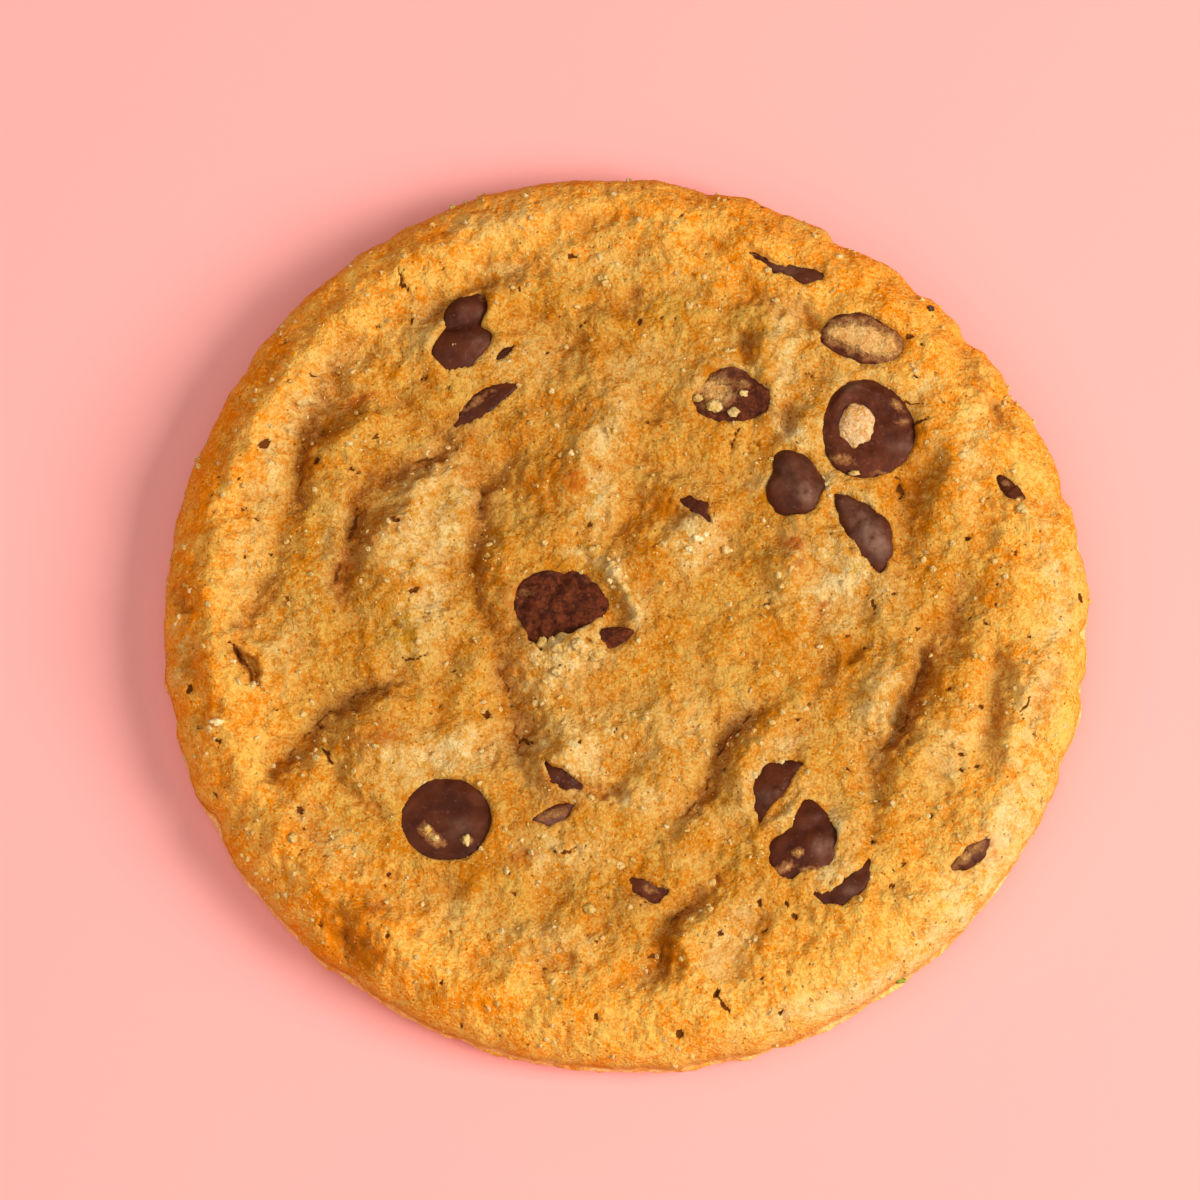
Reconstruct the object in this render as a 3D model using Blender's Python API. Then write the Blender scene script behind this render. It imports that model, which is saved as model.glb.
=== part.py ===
"""Chocolate chip cookie, lying flat on its baked underside.

A round of crinkled dough carries the chocolate chips. Each chip is a solid of its own and sits in its
own socket. The origin is at the middle of the underside and +Z is up.
Blender works here in metres. The design is written in millimetres, and MM turns one into the other.
"""
import math
from collections import namedtuple

import bmesh
import bpy
import numpy as np

MM = 0.001

# The round of dough, in millimetres
MEAN_RADIUS = 43.5
TOP_HEIGHT = 8.3          # the plateau, before its mounds and folds
SHOULDER_WIDTH = 4.6      # from the plateau out to the widest line
WIDEST_HEIGHT = 3.6       # where the crust ends and the smooth side begins
SHOULDER_POWER = 2.3      # 2 is an ellipse, more is squarer
PLATEAU_SHARE = 0.84      # share of the grid's rings that lie on the plateau
PROFILE_STEPS = 400
CREST_HEIGHT = 0.55       # the low swelling just inside the shoulder
CREST_PLACE = 0.89        # as a share of the radius
CREST_SPREAD = 0.05
CREST_LEAN = 0.6          # how much more of it there is on the -X side
# Down the side: how far in from the widest line, height, and how much of each nick is left
SIDE_RINGS = ((0.0, 2.2, 0.4), (0.3, 0.9, 0.0), (0.9, 0.3, 0.0), (1.4, 0.0, 0.0))
SOLE_ZONE = 0.15          # what lies lower than this is pressed flat on the tray

# The outline's slow lobes: waves round the edge, height, heading in degrees
LOBES = ((2, 0.46, -33.0), (3, 0.17, -2.0), (4, 0.16, 61.0))
# Nicks between the crumbs of the edge: heading in degrees, depth, half width in degrees
NICKS = (
    (60.8, 0.6, 1.7), (48.1, 0.5, 1.5), (39.6, 0.6, 1.6), (30.0, 0.6, 1.5), (15.9, 0.5, 1.4),
    (8.8, 0.4, 1.4), (-2.0, 0.6, 1.0), (-8.7, 0.5, 1.3), (-18.7, 0.5, 1.6), (-152.9, 0.6, 1.6),
    (78.9, 0.4, 2.0),
)

Mound = namedtuple("Mound", "x y half_length half_width heading height")
MOUNDS = (
    Mound(-19.8, 10.2, 4.0, 2.5, 75, 0.9),
    Mound(-22.1, 4.3, 4.0, 2.3, 95, 1.0),
    Mound(-19.8, -2.1, 3.2, 2.3, 120, 0.7),
    Mound(-3.4, 15.5, 5.9, 2.5, 72, 1.3),
    Mound(-7.7, 7.2, 4.0, 3.4, 60, 0.7),
    Mound(-1.9, 9.2, 3.2, 1.3, 70, 0.6),
    Mound(-4.9, -4.0, 3.4, 2.3, 10, 0.9),
    Mound(-0.4, 2.4, 3.2, 1.0, -60, 0.7),
    Mound(4.4, 4.8, 4.4, 2.9, 25, 0.9),
    Mound(16.1, 4.3, 5.0, 2.3, 65, 1.0),
    Mound(20.4, 5.3, 3.4, 2.9, 30, 0.5),
    Mound(14.2, 25.7, 4.2, 1.9, 85, 0.9),
    Mound(20.4, 18.4, 3.2, 3.8, 80, 0.4),
    Mound(17.0, 17.0, 4.3, 1.3, 80, 0.4),
    Mound(31.1, 12.6, 5.9, 2.5, 82, 1.0),
    Mound(28.5, -12.5, 3.8, 2.1, 60, 0.9),
    Mound(24.2, -7.4, 5.7, 1.9, 65, 0.8),
    Mound(-23.4, -13.4, 4.8, 3.0, 75, 1.0),
    Mound(-15.8, -11.7, 4.2, 2.1, 30, 0.5),
    Mound(-5.1, -14.2, 3.4, 2.5, 50, 1.0),
    Mound(4.4, -12.7, 6.7, 3.8, 65, 0.6),
    Mound(10.9, -15.1, 4.0, 1.5, 60, 0.9),
    Mound(14.8, -20.2, 3.3, 0.8, 50, 0.6),
    Mound(21.5, -21.5, 3.2, 1.3, 80, 0.7),
    Mound(6.9, -32.0, 4.2, 2.3, 65, 1.0),
    Mound(-7.2, -31.5, 4.2, 1.9, 0, 0.6),
    Mound(20.9, -29.3, 4.4, 2.1, 20, 0.6),
    Mound(-26.8, 15.5, 5.9, 1.7, 50, 0.8),
    Mound(-27.6, 5.3, 5.7, 1.7, 82, 0.5),
    Mound(-35.3, 18.0, 6.7, 1.9, 62, 0.4),
    Mound(-36.8, -7.4, 4.8, 2.9, 70, 0.5),
    Mound(-22.3, -31.2, 4.2, 2.5, 60, 0.7),
    Mound(-10.6, 31.4, 4.8, 1.7, 10, 0.6),
    Mound(4.0, 34.0, 5.7, 2.1, 15, 0.5),
    Mound(37.0, 2.4, 7.6, 2.1, 88, 0.5),
    Mound(39.0, -7.3, 4.8, 1.3, 60, 0.4),
    Mound(-30.6, -18.1, 3.8, 2.1, 70, 0.5),
    Mound(-26.3, -23.9, 3.8, 2.3, -40, 0.5),
    Mound(-10.9, -24.1, 3.4, 2.3, 40, 0.4),
    Mound(-19.1, 25.7, 3.4, 1.5, 50, 0.7),
    Mound(31.8, -10.3, 3.8, 1.9, 80, 0.6),
    Mound(-2.5, -29.3, 3.8, 2.5, 20, 0.4),
)
HOLLOWS = (
    Mound(-12.8, 11.6, 4.8, 2.7, 62, -1.1),
    Mound(-16.3, 2.9, 4.4, 2.1, 110, -0.7),
    Mound(0.0, 10.4, 3.2, 1.7, 60, -0.7),
    Mound(9.6, 6.5, 2.9, 2.1, 80, -0.7),
    Mound(27.5, 11.1, 6.7, 1.9, 88, -0.8),
    Mound(27.2, -7.4, 4.8, 1.3, 72, -0.7),
    Mound(22.5, -17.1, 5.7, 1.5, 85, -0.6),
    Mound(-11.5, -10.5, 3.8, 2.5, 80, -1.0),
    Mound(-1.2, -1.0, 3.2, 1.5, 70, -0.6),
    Mound(-28.4, -7.4, 4.2, 2.5, 60, -0.7),
    Mound(-33.7, -15.0, 3.4, 1.7, 60, -0.6),
    Mound(-1.5, -29.3, 2.7, 1.9, 80, -0.5),
    Mound(-18.0, -27.1, 3.2, 1.9, 20, -0.4),
    Mound(9.7, -11.7, 3.8, 1.9, 60, -0.5),
    Mound(12.5, -30.0, 3.2, 1.7, 60, -0.5),
    Mound(30.9, -25.8, 3.2, 1.9, 30, -0.4),
    Mound(-6.3, 37.2, 5.7, 1.5, 10, -0.5),
    Mound(-7.2, 26.4, 4.8, 2.3, 0, -0.4),
    Mound(-25.8, -32.0, 3.2, 1.5, -45, -1.2),
    Mound(19.0, -4.9, 3.2, 1.7, 30, -0.5),
    Mound(3.2, 14.1, 3.4, 1.3, 0, -0.4),
    Mound(10.9, 9.2, 2.3, 1.3, 60, -0.3),
)

# Each fold runs from the back of the cookie to its front. The wall on its +X side climbs higher, by rise.
Fold = namedtuple("Fold", "route depth rise near_wall far_wall")
FOLDS = (
    Fold(((-8.9, 31.8), (-10.5, 32.3), (-14.6, 31.2), (-17.0, 29.7), (-21.5, 27.5)), 0.4, 0.3, 1.6, 1.8),
    Fold(((3.2, 31.8), (1.2, 31.2), (0.1, 29.8), (-3.7, 29.5), (-5.7, 29.1)), 0.3, 0.2, 1.4, 1.6),
    Fold(((3.2, 38.3), (-0.6, 38.6), (-3.7, 38.4), (-7.6, 39.7)), 0.3, 0.0, 1.1, 1.1),
    Fold(((-26.8, 26.2), (-28.6, 20.6), (-30.2, 17.7), (-30.7, 12.5), (-31.2, 10.6), (-33.0, 6.4)), 0.6, 0.4, 1.8, 2.2),
    Fold(((-23.0, 21.2), (-27.3, 19.4), (-28.6, 17.7), (-29.7, 16.2)), 0.3, 0.3, 1.2, 1.4),
    Fold(((-15.2, 17.0), (-18.4, 14.9), (-22.3, 13.6), (-25.0, 12.4)), 0.5, 0.7, 1.4, 2.0),
    Fold(((-23.4, 13.4), (-25.2, 11.0), (-25.6, 8.3), (-26.7, 5.1), (-27.4, 2.4), (-27.4, -0.6)), 0.6, 0.8, 1.4, 2.4),
    Fold(((-11.6, 14.5), (-13.0, 11.7), (-13.8, 9.9), (-14.4, 8.8)), 0.4, 0.2, 0.6, 0.7),
    Fold(((-13.6, 9.2), (-14.1, 5.6), (-13.9, 1.4), (-12.4, -3.0)), 0.3, 0.4, 1.5, 2.2),
    Fold(((11.4, 31.0), (13.3, 30.2), (17.1, 28.6), (18.6, 28.0)), 0.3, 0.1, 0.9, 1.0),
    Fold(((12.1, 27.8), (11.6, 26.0), (12.2, 23.6)), 0.5, 0.3, 1.0, 1.3),
    Fold(((30.0, 27.5), (32.4, 24.2), (35.0, 19.9), (37.0, 17.7), (37.7, 15.9)), 0.3, 0.1, 1.2, 1.2),
    Fold(((30.9, 5.1), (31.4, 2.0), (30.3, -2.5), (28.3, -4.9), (27.2, -8.1), (26.4, -11.1),
          (24.4, -13.4), (23.4, -17.6)), 0.6, 0.4, 1.5, 2.0),
    Fold(((41.7, -3.4), (40.3, -6.3), (39.1, -8.8), (38.6, -10.5), (37.3, -12.2)), 0.3, 0.1, 0.8, 1.0),
    Fold(((34.8, -2.6), (35.3, -6.4), (34.6, -10.6), (33.2, -15.0)), 0.3, 0.3, 1.0, 1.3),
    Fold(((32.1, -17.2), (29.4, -17.8)), 0.3, 0.0, 0.8, 0.8),
    Fold(((23.4, -3.7), (21.0, -4.2), (19.6, -4.9), (18.4, -7.0)), 0.4, 0.2, 0.9, 1.2),
    Fold(((14.2, -7.4), (12.7, -9.5), (10.6, -11.2), (8.9, -13.5), (8.0, -16.2), (6.1, -19.2),
          (2.3, -20.7)), 0.6, 0.4, 1.6, 1.9),
    Fold(((-32.4, 4.6), (-35.5, -0.2), (-37.7, -2.7)), 0.3, 0.1, 1.2, 1.3),
    Fold(((-43.1, 3.0), (-42.0, 1.0), (-41.0, -0.5)), 0.5, 0.0, 0.8, 0.8),
    Fold(((-20.1, -4.9), (-22.3, -7.3), (-25.4, -8.0), (-27.8, -9.8), (-30.2, -12.1), (-32.4, -14.8),
          (-33.2, -18.6)), 0.6, 0.4, 1.4, 2.0),
    Fold(((-12.4, -3.0), (-11.7, -5.7), (-10.7, -8.1), (-10.2, -12.2), (-9.7, -13.8), (-9.9, -17.5)), 0.5, 0.3, 1.2, 1.6),
    Fold(((-0.5, -16.7), (-2.1, -17.0), (-4.2, -17.1)), 0.4, 0.0, 0.7, 0.8),
    Fold(((8.9, -25.7), (7.0, -27.3), (5.0, -29.1), (3.8, -31.3), (3.0, -34.2), (-0.6, -35.5)), 0.6, 0.3, 1.3, 1.7),
    Fold(((-10.1, -32.6), (-7.2, -33.5), (-4.1, -34.2)), 0.3, 0.0, 0.9, 0.9),
    Fold(((-37.2, -3.6), (-36.0, -5.1), (-34.4, -7.7)), 0.6, 0.0, 0.4, 0.4),
    Fold(((-27.9, -14.6), (-26.3, -17.1), (-23.4, -19.2), (-21.5, -19.8)), 0.3, 0.0, 0.9, 1.0),
    Fold(((14.8, 20.4), (15.0, 18.0), (15.6, 16.5)), 0.4, 0.2, 0.9, 1.2),
)
FOLD_END_DEPTH = 0.35     # share of a fold's depth that is left at its ends
FOLD_CLIMB = 1.5          # how wide the higher wall's climb is, in far walls
RISE_REACH = 5.0          # how far the higher wall of a fold stays high
FOLD_TAPER = 0.25         # share of a fold's length over which it fades in and out
ROUTE_STEPS = 5           # straight pieces between two points of a route

# The dough's slow swell between its mounds, and how far the walls of mounds and folds wander sideways
WAVE_COUNT = 22
SWELL_HEIGHT = 0.12
SWELL_LENGTHS = (4.0, 12.0)
SWELL_SEED = 11
WANDER_REACH = 0.3
WANDER_LENGTHS = (5.0, 11.0)
WANDER_SEEDS = (21, 22)

# A pebble is a rounded chip: radii at even steps round its middle, starting at +X
Pebble = namedtuple("Pebble", "name x y radii lift crown depth")
PEBBLES = (
    Pebble("chip_knobbed", -15.4, 26.9, (3.2, 1.8, 4.3, 3.6, 2.9, 1.6, 1.9, 3.1, 3.5, 3.4, 2.9, 2.8),
           0.3, 0.9, 3.0),
    Pebble("chip_ring", 23.0, 17.9, (4.6, 4.4, 4.6, 4.9, 5.0, 4.6, 4.4, 4.5, 4.8, 4.7, 4.5, 4.5),
           0.5, 0.8, 4.2),
    Pebble("chip_disc", -16.9, -20.1, (4.6, 4.4, 4.2, 4.1, 4.2, 4.4, 4.5, 4.5, 4.3, 4.1, 4.2, 4.4),
           0.2, 0.5, 4.4),
    Pebble("chip_cone", 16.3, 12.4, (2.8, 2.4, 2.7, 3.3, 3.6, 2.5, 2.7, 3.0, 3.2, 3.2, 3.1, 2.5),
           1.1, 1.6, 2.8),
    Pebble("chip_split", 17.0, -22.2, (3.1, 3.4, 3.6, 4.3, 2.6, 2.4, 3.4, 3.9, 3.9, 2.4, 2.6, 3.0),
           0.4, 0.9, 3.2),
    Pebble("chip_centre", -6.0, 1.0, (4.4, 4.1, 3.5, 3.1, 3.5, 4.1, 4.4, 4.1, 4.6, 3.3, 3.5, 3.8),
           0.3, 0.8, 3.6),
    Pebble("chip_veiled", 22.8, 26.6, (4.0, 2.7, 2.5, 2.7, 3.0, 3.6, 4.1, 3.2, 2.4, 2.3, 2.7, 3.6),
           0.5, 0.8, 2.8),
    Pebble("chip_crumbly", 10.2, 21.2, (4.1, 2.9, 2.8, 3.0, 3.1, 3.1, 4.0, 3.6, 2.9, 3.0, 3.2, 4.0),
           0.3, 0.7, 3.0),
)
CRUMB_ON_RING = Pebble("crumb_on_ring", 22.0, 18.1,
                       (1.8, 1.9, 2.0, 2.1, 1.9, 1.6, 1.5, 1.6, 1.8, 2.3, 2.1, 1.8), 1.1, 0.8, 0.7)

# A sliver is a long chip: places and half widths along its spine
Sliver = namedtuple("Sliver", "name spine lift crown depth")
SLIVERS = (
    Sliver("chip_drop", ((20.0, 11.5, 0.3), (21.0, 10.4, 0.8), (22.1, 9.0, 1.3), (23.2, 7.5, 2.0),
                         (24.0, 6.1, 2.0), (24.2, 4.7, 1.2), (24.1, 3.8, 0.4)), 0.8, 1.2, 2.4),
    Sliver("chip_half", ((16.7, -14.9, 0.4), (15.4, -15.2, 0.9), (14.1, -16.1, 1.6), (13.2, -17.4, 1.5),
                         (12.8, -18.7, 0.9), (12.7, -20.2, 0.3)), 0.3, 0.8, 2.6),
    Sliver("chip_crescent", ((17.6, -27.1, 0.2), (18.7, -27.6, 0.6), (20.2, -27.5, 0.9),
                             (21.5, -26.5, 1.0), (22.5, -25.3, 0.8), (22.9, -24.1, 0.3)), 0.2, 0.6, 1.8),
    Sliver("chip_wedge_back", ((-10.1, 22.2, 0.2), (-11.2, 21.9, 0.4), (-12.4, 21.2, 0.8),
                               (-13.7, 20.2, 0.9), (-14.9, 19.2, 0.7), (-15.9, 18.2, 0.3)), 0.1, 0.6, 1.6),
    Sliver("chip_shard_back", ((-10.5, 25.6, 0.3), (-11.2, 25.1, 0.6), (-12.1, 24.5, 0.3)), 0.2, 0.5, 1.2),
    Sliver("chip_sliver_back", ((11.5, 35.2, 0.2), (13.0, 34.3, 0.4), (14.5, 33.7, 0.5),
                                (16.1, 33.4, 0.6), (17.5, 33.0, 0.8), (18.7, 33.0, 0.4)), 0.1, 0.5, 1.4),
    Sliver("chip_fleck_middle", ((5.3, 11.0, 0.2), (6.3, 10.8, 0.6), (7.2, 10.1, 0.8), (8.0, 9.1, 0.3)),
           0.2, 0.6, 1.6),
    Sliver("chip_fleck_right", ((35.7, 12.8, 0.3), (36.4, 12.0, 0.6), (37.1, 11.2, 0.7),
                                (38.1, 10.2, 0.2)), 0.2, 0.6, 1.3),
    Sliver("chip_nub", ((-2.2, -2.9, 0.4), (-1.4, -2.9, 1.1), (-0.6, -2.8, 1.1), (0.4, -2.3, 0.5)),
           0.6, 0.9, 1.6),
    Sliver("chip_wedge_front", ((-7.4, -15.0, 0.3), (-6.7, -15.9, 0.8), (-5.5, -16.6, 0.9),
                                (-4.2, -17.0, 0.4)), 0.1, 0.5, 1.6),
    Sliver("chip_shard_front", ((-8.4, -20.2, 0.3), (-7.2, -20.0, 0.7), (-6.1, -19.5, 0.8),
                                (-4.7, -18.8, 0.3)), 0.2, 0.5, 1.4),
    Sliver("chip_pit_front", ((0.8, -25.9, 0.3), (1.6, -26.6, 1.0), (2.7, -27.1, 1.1),
                              (4.0, -26.9, 0.4)), 0.1, 0.6, 1.8),
    Sliver("chip_veiled_right", ((31.0, -24.6, 0.3), (31.8, -24.0, 0.8), (33.0, -23.1, 0.9),
                                 (34.2, -21.9, 0.3)), 0.2, 0.6, 1.4),
)

SOCKET_GAP = 0.3
PEBBLE_POWER = 3.0        # how square a pebble's shoulder is: 2 is round
SLIVER_END_POWER = 6.0    # how late a sliver's end closes
SPINE_LOOK = 0.05         # share of a spine's length over which its direction is read
LEAN_REACH = 0.7          # share of a pebble's radius over which the dough's slope is read
PEBBLE_FACES = (16, 7)    # round, and from tip to tip
SLIVER_FACES = (8, 7)
DOUGH_GRID = 110          # quads along each side of the grid
DOUGH_TRIANGLES = 6000

DOUGH_COLOUR = (0.66, 0.36, 0.12)
CRUMB_COLOUR = (0.80, 0.58, 0.33)
CHOCOLATE_COLOUR = (0.065, 0.026, 0.020)


def smooth_step(value):
    t = np.clip(value, 0.0, 1.0)
    return t * t * (3.0 - 2.0 * t)


def outline_radius(heading, nicked=1.0):
    """Distance from the middle to the edge, along a heading in radians."""
    radius = np.full_like(heading, MEAN_RADIUS)
    for waves_round, height, turn in LOBES:
        radius += height * np.cos(waves_round * heading - math.radians(turn))
    for place, depth, half_width in NICKS:
        away = np.angle(np.exp(1j * (heading - math.radians(place))))
        radius -= nicked * depth * np.exp(-(away / math.radians(half_width)) ** 2)
    return radius


def outline_middle():
    """Middle of the outline's box, so that the cookie can be centred on the origin."""
    heading = np.linspace(-math.pi, math.pi, 1441)
    radius = outline_radius(heading)
    x = radius * np.cos(heading)
    y = radius * np.sin(heading)
    return (x.max() + x.min()) / 2, (y.max() + y.min()) / 2


def mound_height(x, y, mound):
    turn = math.radians(mound.heading)
    along = (x - mound.x) * math.cos(turn) + (y - mound.y) * math.sin(turn)
    across = (y - mound.y) * math.cos(turn) - (x - mound.x) * math.sin(turn)
    return mound.height * np.exp(-(along / mound.half_length) ** 2 - (across / mound.half_width) ** 2)


def smooth_route(points):
    """A Catmull-Rom curve through the points, as short straight pieces."""
    ends = [2 * np.array(points[0]) - np.array(points[1]), 2 * np.array(points[-1]) - np.array(points[-2])]
    knots = [ends[0], *map(np.array, points), ends[1]]
    route = []
    for before, start, stop, after in zip(knots, knots[1:], knots[2:], knots[3:]):
        for t in np.arange(ROUTE_STEPS) / ROUTE_STEPS:
            route.append(0.5 * (2 * start + (stop - before) * t
                                + (2 * before - 5 * start + 4 * stop - after) * t ** 2
                                + (3 * start - before - 3 * stop + after) * t ** 3))
    route.append(knots[-2])
    return np.array(route)


def nearest_on_route(x, y, route):
    """Signed distance to the route, positive on the left of its travel, and the share travelled."""
    best = np.full_like(x, np.inf)
    side = np.ones_like(x)
    share = np.zeros_like(x)
    pieces = len(route) - 1
    for index in range(pieces):
        (ax, ay), (bx, by) = route[index], route[index + 1]
        dx, dy = bx - ax, by - ay
        t = np.clip(((x - ax) * dx + (y - ay) * dy) / (dx * dx + dy * dy), 0.0, 1.0)
        away = np.hypot(x - ax - t * dx, y - ay - t * dy)
        closer = away < best
        best = np.where(closer, away, best)
        side = np.where(closer, np.sign(dx * (y - ay) - dy * (x - ax)), side)
        share = np.where(closer, (index + t) / pieces, share)
    return best * side, share


def fold_height(x, y, fold):
    away, share = nearest_on_route(x, y, smooth_route(fold.route))
    fade = smooth_step(np.minimum(share, 1.0 - share) / FOLD_TAPER)
    wall = np.where(away > 0, fold.far_wall, fold.near_wall)
    deepness = FOLD_END_DEPTH + (1.0 - FOLD_END_DEPTH) * fade
    groove = -fold.depth * deepness * np.exp(-(away / wall) ** 2)
    climb = smooth_step(away / (FOLD_CLIMB * fold.far_wall)) * np.exp(-(away / RISE_REACH) ** 2)
    return groove + fold.rise * fade * climb


def waves(x, y, seed, lengths):
    """A sum of waves in seeded directions, about one high."""
    draw = np.random.default_rng(seed)
    total = np.zeros_like(x)
    for _ in range(WAVE_COUNT):
        turn, phase = draw.uniform(0.0, 2 * math.pi, 2)
        length = draw.uniform(*lengths)
        total += np.cos((x * math.cos(turn) + y * math.sin(turn)) * 2 * math.pi / length + phase)
    return total / math.sqrt(WAVE_COUNT / 2)


def crest_height(x, y):
    """The swelling that runs round the plateau, fuller on the -X side."""
    heading = np.arctan2(y, x)
    place = np.hypot(x, y) / outline_radius(heading)
    fullness = 1.0 - CREST_LEAN * np.cos(heading)
    return CREST_HEIGHT * fullness * np.exp(-((place - CREST_PLACE) / CREST_SPREAD) ** 2)


def relief(x, y):
    """How far the dough stands over its plateau."""
    total = SWELL_HEIGHT * waves(x, y, SWELL_SEED, SWELL_LENGTHS) + crest_height(x, y)
    near_x = x + WANDER_REACH * waves(x, y, WANDER_SEEDS[0], WANDER_LENGTHS)
    near_y = y + WANDER_REACH * waves(x, y, WANDER_SEEDS[1], WANDER_LENGTHS)
    for mound in MOUNDS + HOLLOWS:
        total += mound_height(near_x, near_y, mound)
    for fold in FOLDS:
        total += fold_height(near_x, near_y, fold)
    return total


def shoulder(share):
    """Radius as a share of the outline's, and height, for a share of the way from middle to edge."""
    width = SHOULDER_WIDTH / MEAN_RADIUS
    turn = np.clip((share - PLATEAU_SHARE) / (1.0 - PLATEAU_SHARE), 0.0, 1.0) * math.pi / 2
    power = 2.0 / SHOULDER_POWER
    curved = 1.0 - width + width * np.sin(turn) ** power
    flat = share / PLATEAU_SHARE * (1.0 - width)
    radius = np.where(share < PLATEAU_SHARE, flat, curved)
    keep = np.cos(turn) ** power
    return radius, WIDEST_HEIGHT + (TOP_HEIGHT - WIDEST_HEIGHT) * keep, keep


def top_height(x, y):
    """Height of the dough's top at places given as arrays, for setting the chips on it."""
    shares = np.linspace(0.0, 1.0, PROFILE_STEPS)
    radii, heights, keeps = shoulder(shares)
    place = np.hypot(x, y) / outline_radius(np.arctan2(y, x))
    return np.interp(place, radii, heights) + np.interp(place, radii, keeps) * relief(x, y)


def named_collection(name):
    collection = bpy.data.collections.new(name)
    bpy.context.scene.collection.children.link(collection)
    return collection


def material(name, colour, roughness):
    made = bpy.data.materials.new(name)
    made.use_nodes = True
    shader = made.node_tree.nodes["Principled BSDF"]
    shader.inputs["Base Color"].default_value = (*colour, 1.0)
    shader.inputs["Roughness"].default_value = roughness
    return made


def add_object(name, bm, collection, finish=None):
    """Turns a bmesh in millimetres into an object in metres, with the cookie's box centred on the origin."""
    middle = outline_middle()
    bmesh.ops.translate(bm, verts=bm.verts, vec=(-middle[0], -middle[1], 0.0))
    bmesh.ops.recalc_face_normals(bm, faces=bm.faces)
    if bm.calc_volume(signed=True) < 0:
        bmesh.ops.reverse_faces(bm, faces=bm.faces)
    bmesh.ops.scale(bm, verts=bm.verts, vec=(MM, MM, MM))
    mesh = bpy.data.meshes.new(name)
    bm.to_mesh(mesh)
    bm.free()
    mesh.shade_smooth()
    if finish:
        mesh.materials.append(finish)
    made = bpy.data.objects.new(name, mesh)
    collection.objects.link(made)
    return made


def square_to_disc(u, v):
    """Carries the square from -1 to 1 onto a round, ring by ring: share of the way out, and heading."""
    share = np.maximum(np.abs(u), np.abs(v))
    wide = np.abs(u) >= np.abs(v)
    part = np.where(wide, v / np.where(wide & (u != 0), u, 1.0), u / np.where(~wide & (v != 0), v, 1.0))
    eighth = part * math.pi / 4
    heading = np.where(wide, eighth + np.where(u < 0, math.pi, 0.0),
                       math.pi / 2 - eighth + np.where(v < 0, math.pi, 0.0))
    return share, heading


def dough_surface():
    """The top as a grid carried onto the round, then the side in rings and the sole as one face."""
    bm = bmesh.new()
    bmesh.ops.create_grid(bm, x_segments=DOUGH_GRID, y_segments=DOUGH_GRID, size=1.0)
    flat = np.array([vert.co[:2] for vert in bm.verts])
    share, heading = square_to_disc(flat[:, 0], flat[:, 1])
    part, height, keep = shoulder(share)
    radius = part * outline_radius(heading)
    x, y = radius * np.cos(heading), radius * np.sin(heading)
    z = height + keep * relief(x, y)
    for vert, place in zip(bm.verts, zip(x, y, z)):
        vert.co = place
    edge = [side for side in bm.edges if side.is_boundary]
    for inset, level, nicked in SIDE_RINGS:
        made = bmesh.ops.extrude_edge_only(bm, edges=edge)["geom"]
        edge = [item for item in made if isinstance(item, bmesh.types.BMEdge)]
        for vert in (item for item in made if isinstance(item, bmesh.types.BMVert)):
            turn = math.atan2(vert.co.y, vert.co.x)
            reach = float(outline_radius(np.array([turn]), nicked)[0]) - inset
            vert.co = (reach * math.cos(turn), reach * math.sin(turn), level)
    bmesh.ops.edgeloop_fill(bm, edges=edge)
    return bm


def simplified(source, triangles):
    """The object's mesh with its least useful edges collapsed."""
    faces = sum(len(face.vertices) - 2 for face in source.data.polygons)
    fewer = source.modifiers.new("fewer triangles", "DECIMATE")
    fewer.ratio = triangles / faces
    graph = bpy.context.evaluated_depsgraph_get()
    mesh = bpy.data.meshes.new_from_object(source.evaluated_get(graph))
    source.modifiers.remove(fewer)
    return mesh


def build_dough(collection, finish):
    dough = add_object("dough", dough_surface(), collection, finish)
    dough.data = simplified(dough, DOUGH_TRIANGLES)
    for vert in dough.data.vertices:
        if vert.co.z < SOLE_ZONE * MM:
            vert.co.z = 0.0
    dough.data.name = "dough"
    dough.data.shade_smooth()
    return dough


def radius_at(radii, heading):
    """Smooth closed curve through evenly spaced radii."""
    values = np.array(radii)
    place = np.mod(heading, 2 * math.pi) / (2 * math.pi) * len(values)
    start = np.floor(place).astype(int)
    t = place - start
    a, b, c, d = (values[(start + step) % len(values)] for step in (-1, 0, 1, 2))
    return 0.5 * (2 * b + (c - a) * t + (2 * a - 5 * b + 4 * c - d) * t ** 2
                  + (3 * b - a - 3 * c + d) * t ** 3)


def tilted_plane(x, y, reach):
    """The dough's mean height near a place and its slopes, so that a chip leans with the dough."""
    places_x = np.array([x, x + reach, x - reach, x, x])
    places_y = np.array([y, y, y, y + reach, y - reach])
    heights = top_height(places_x, places_y)
    slope_x = (heights[1] - heights[2]) / (2 * reach)
    slope_y = (heights[3] - heights[4]) / (2 * reach)
    return heights.mean(), slope_x, slope_y


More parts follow.
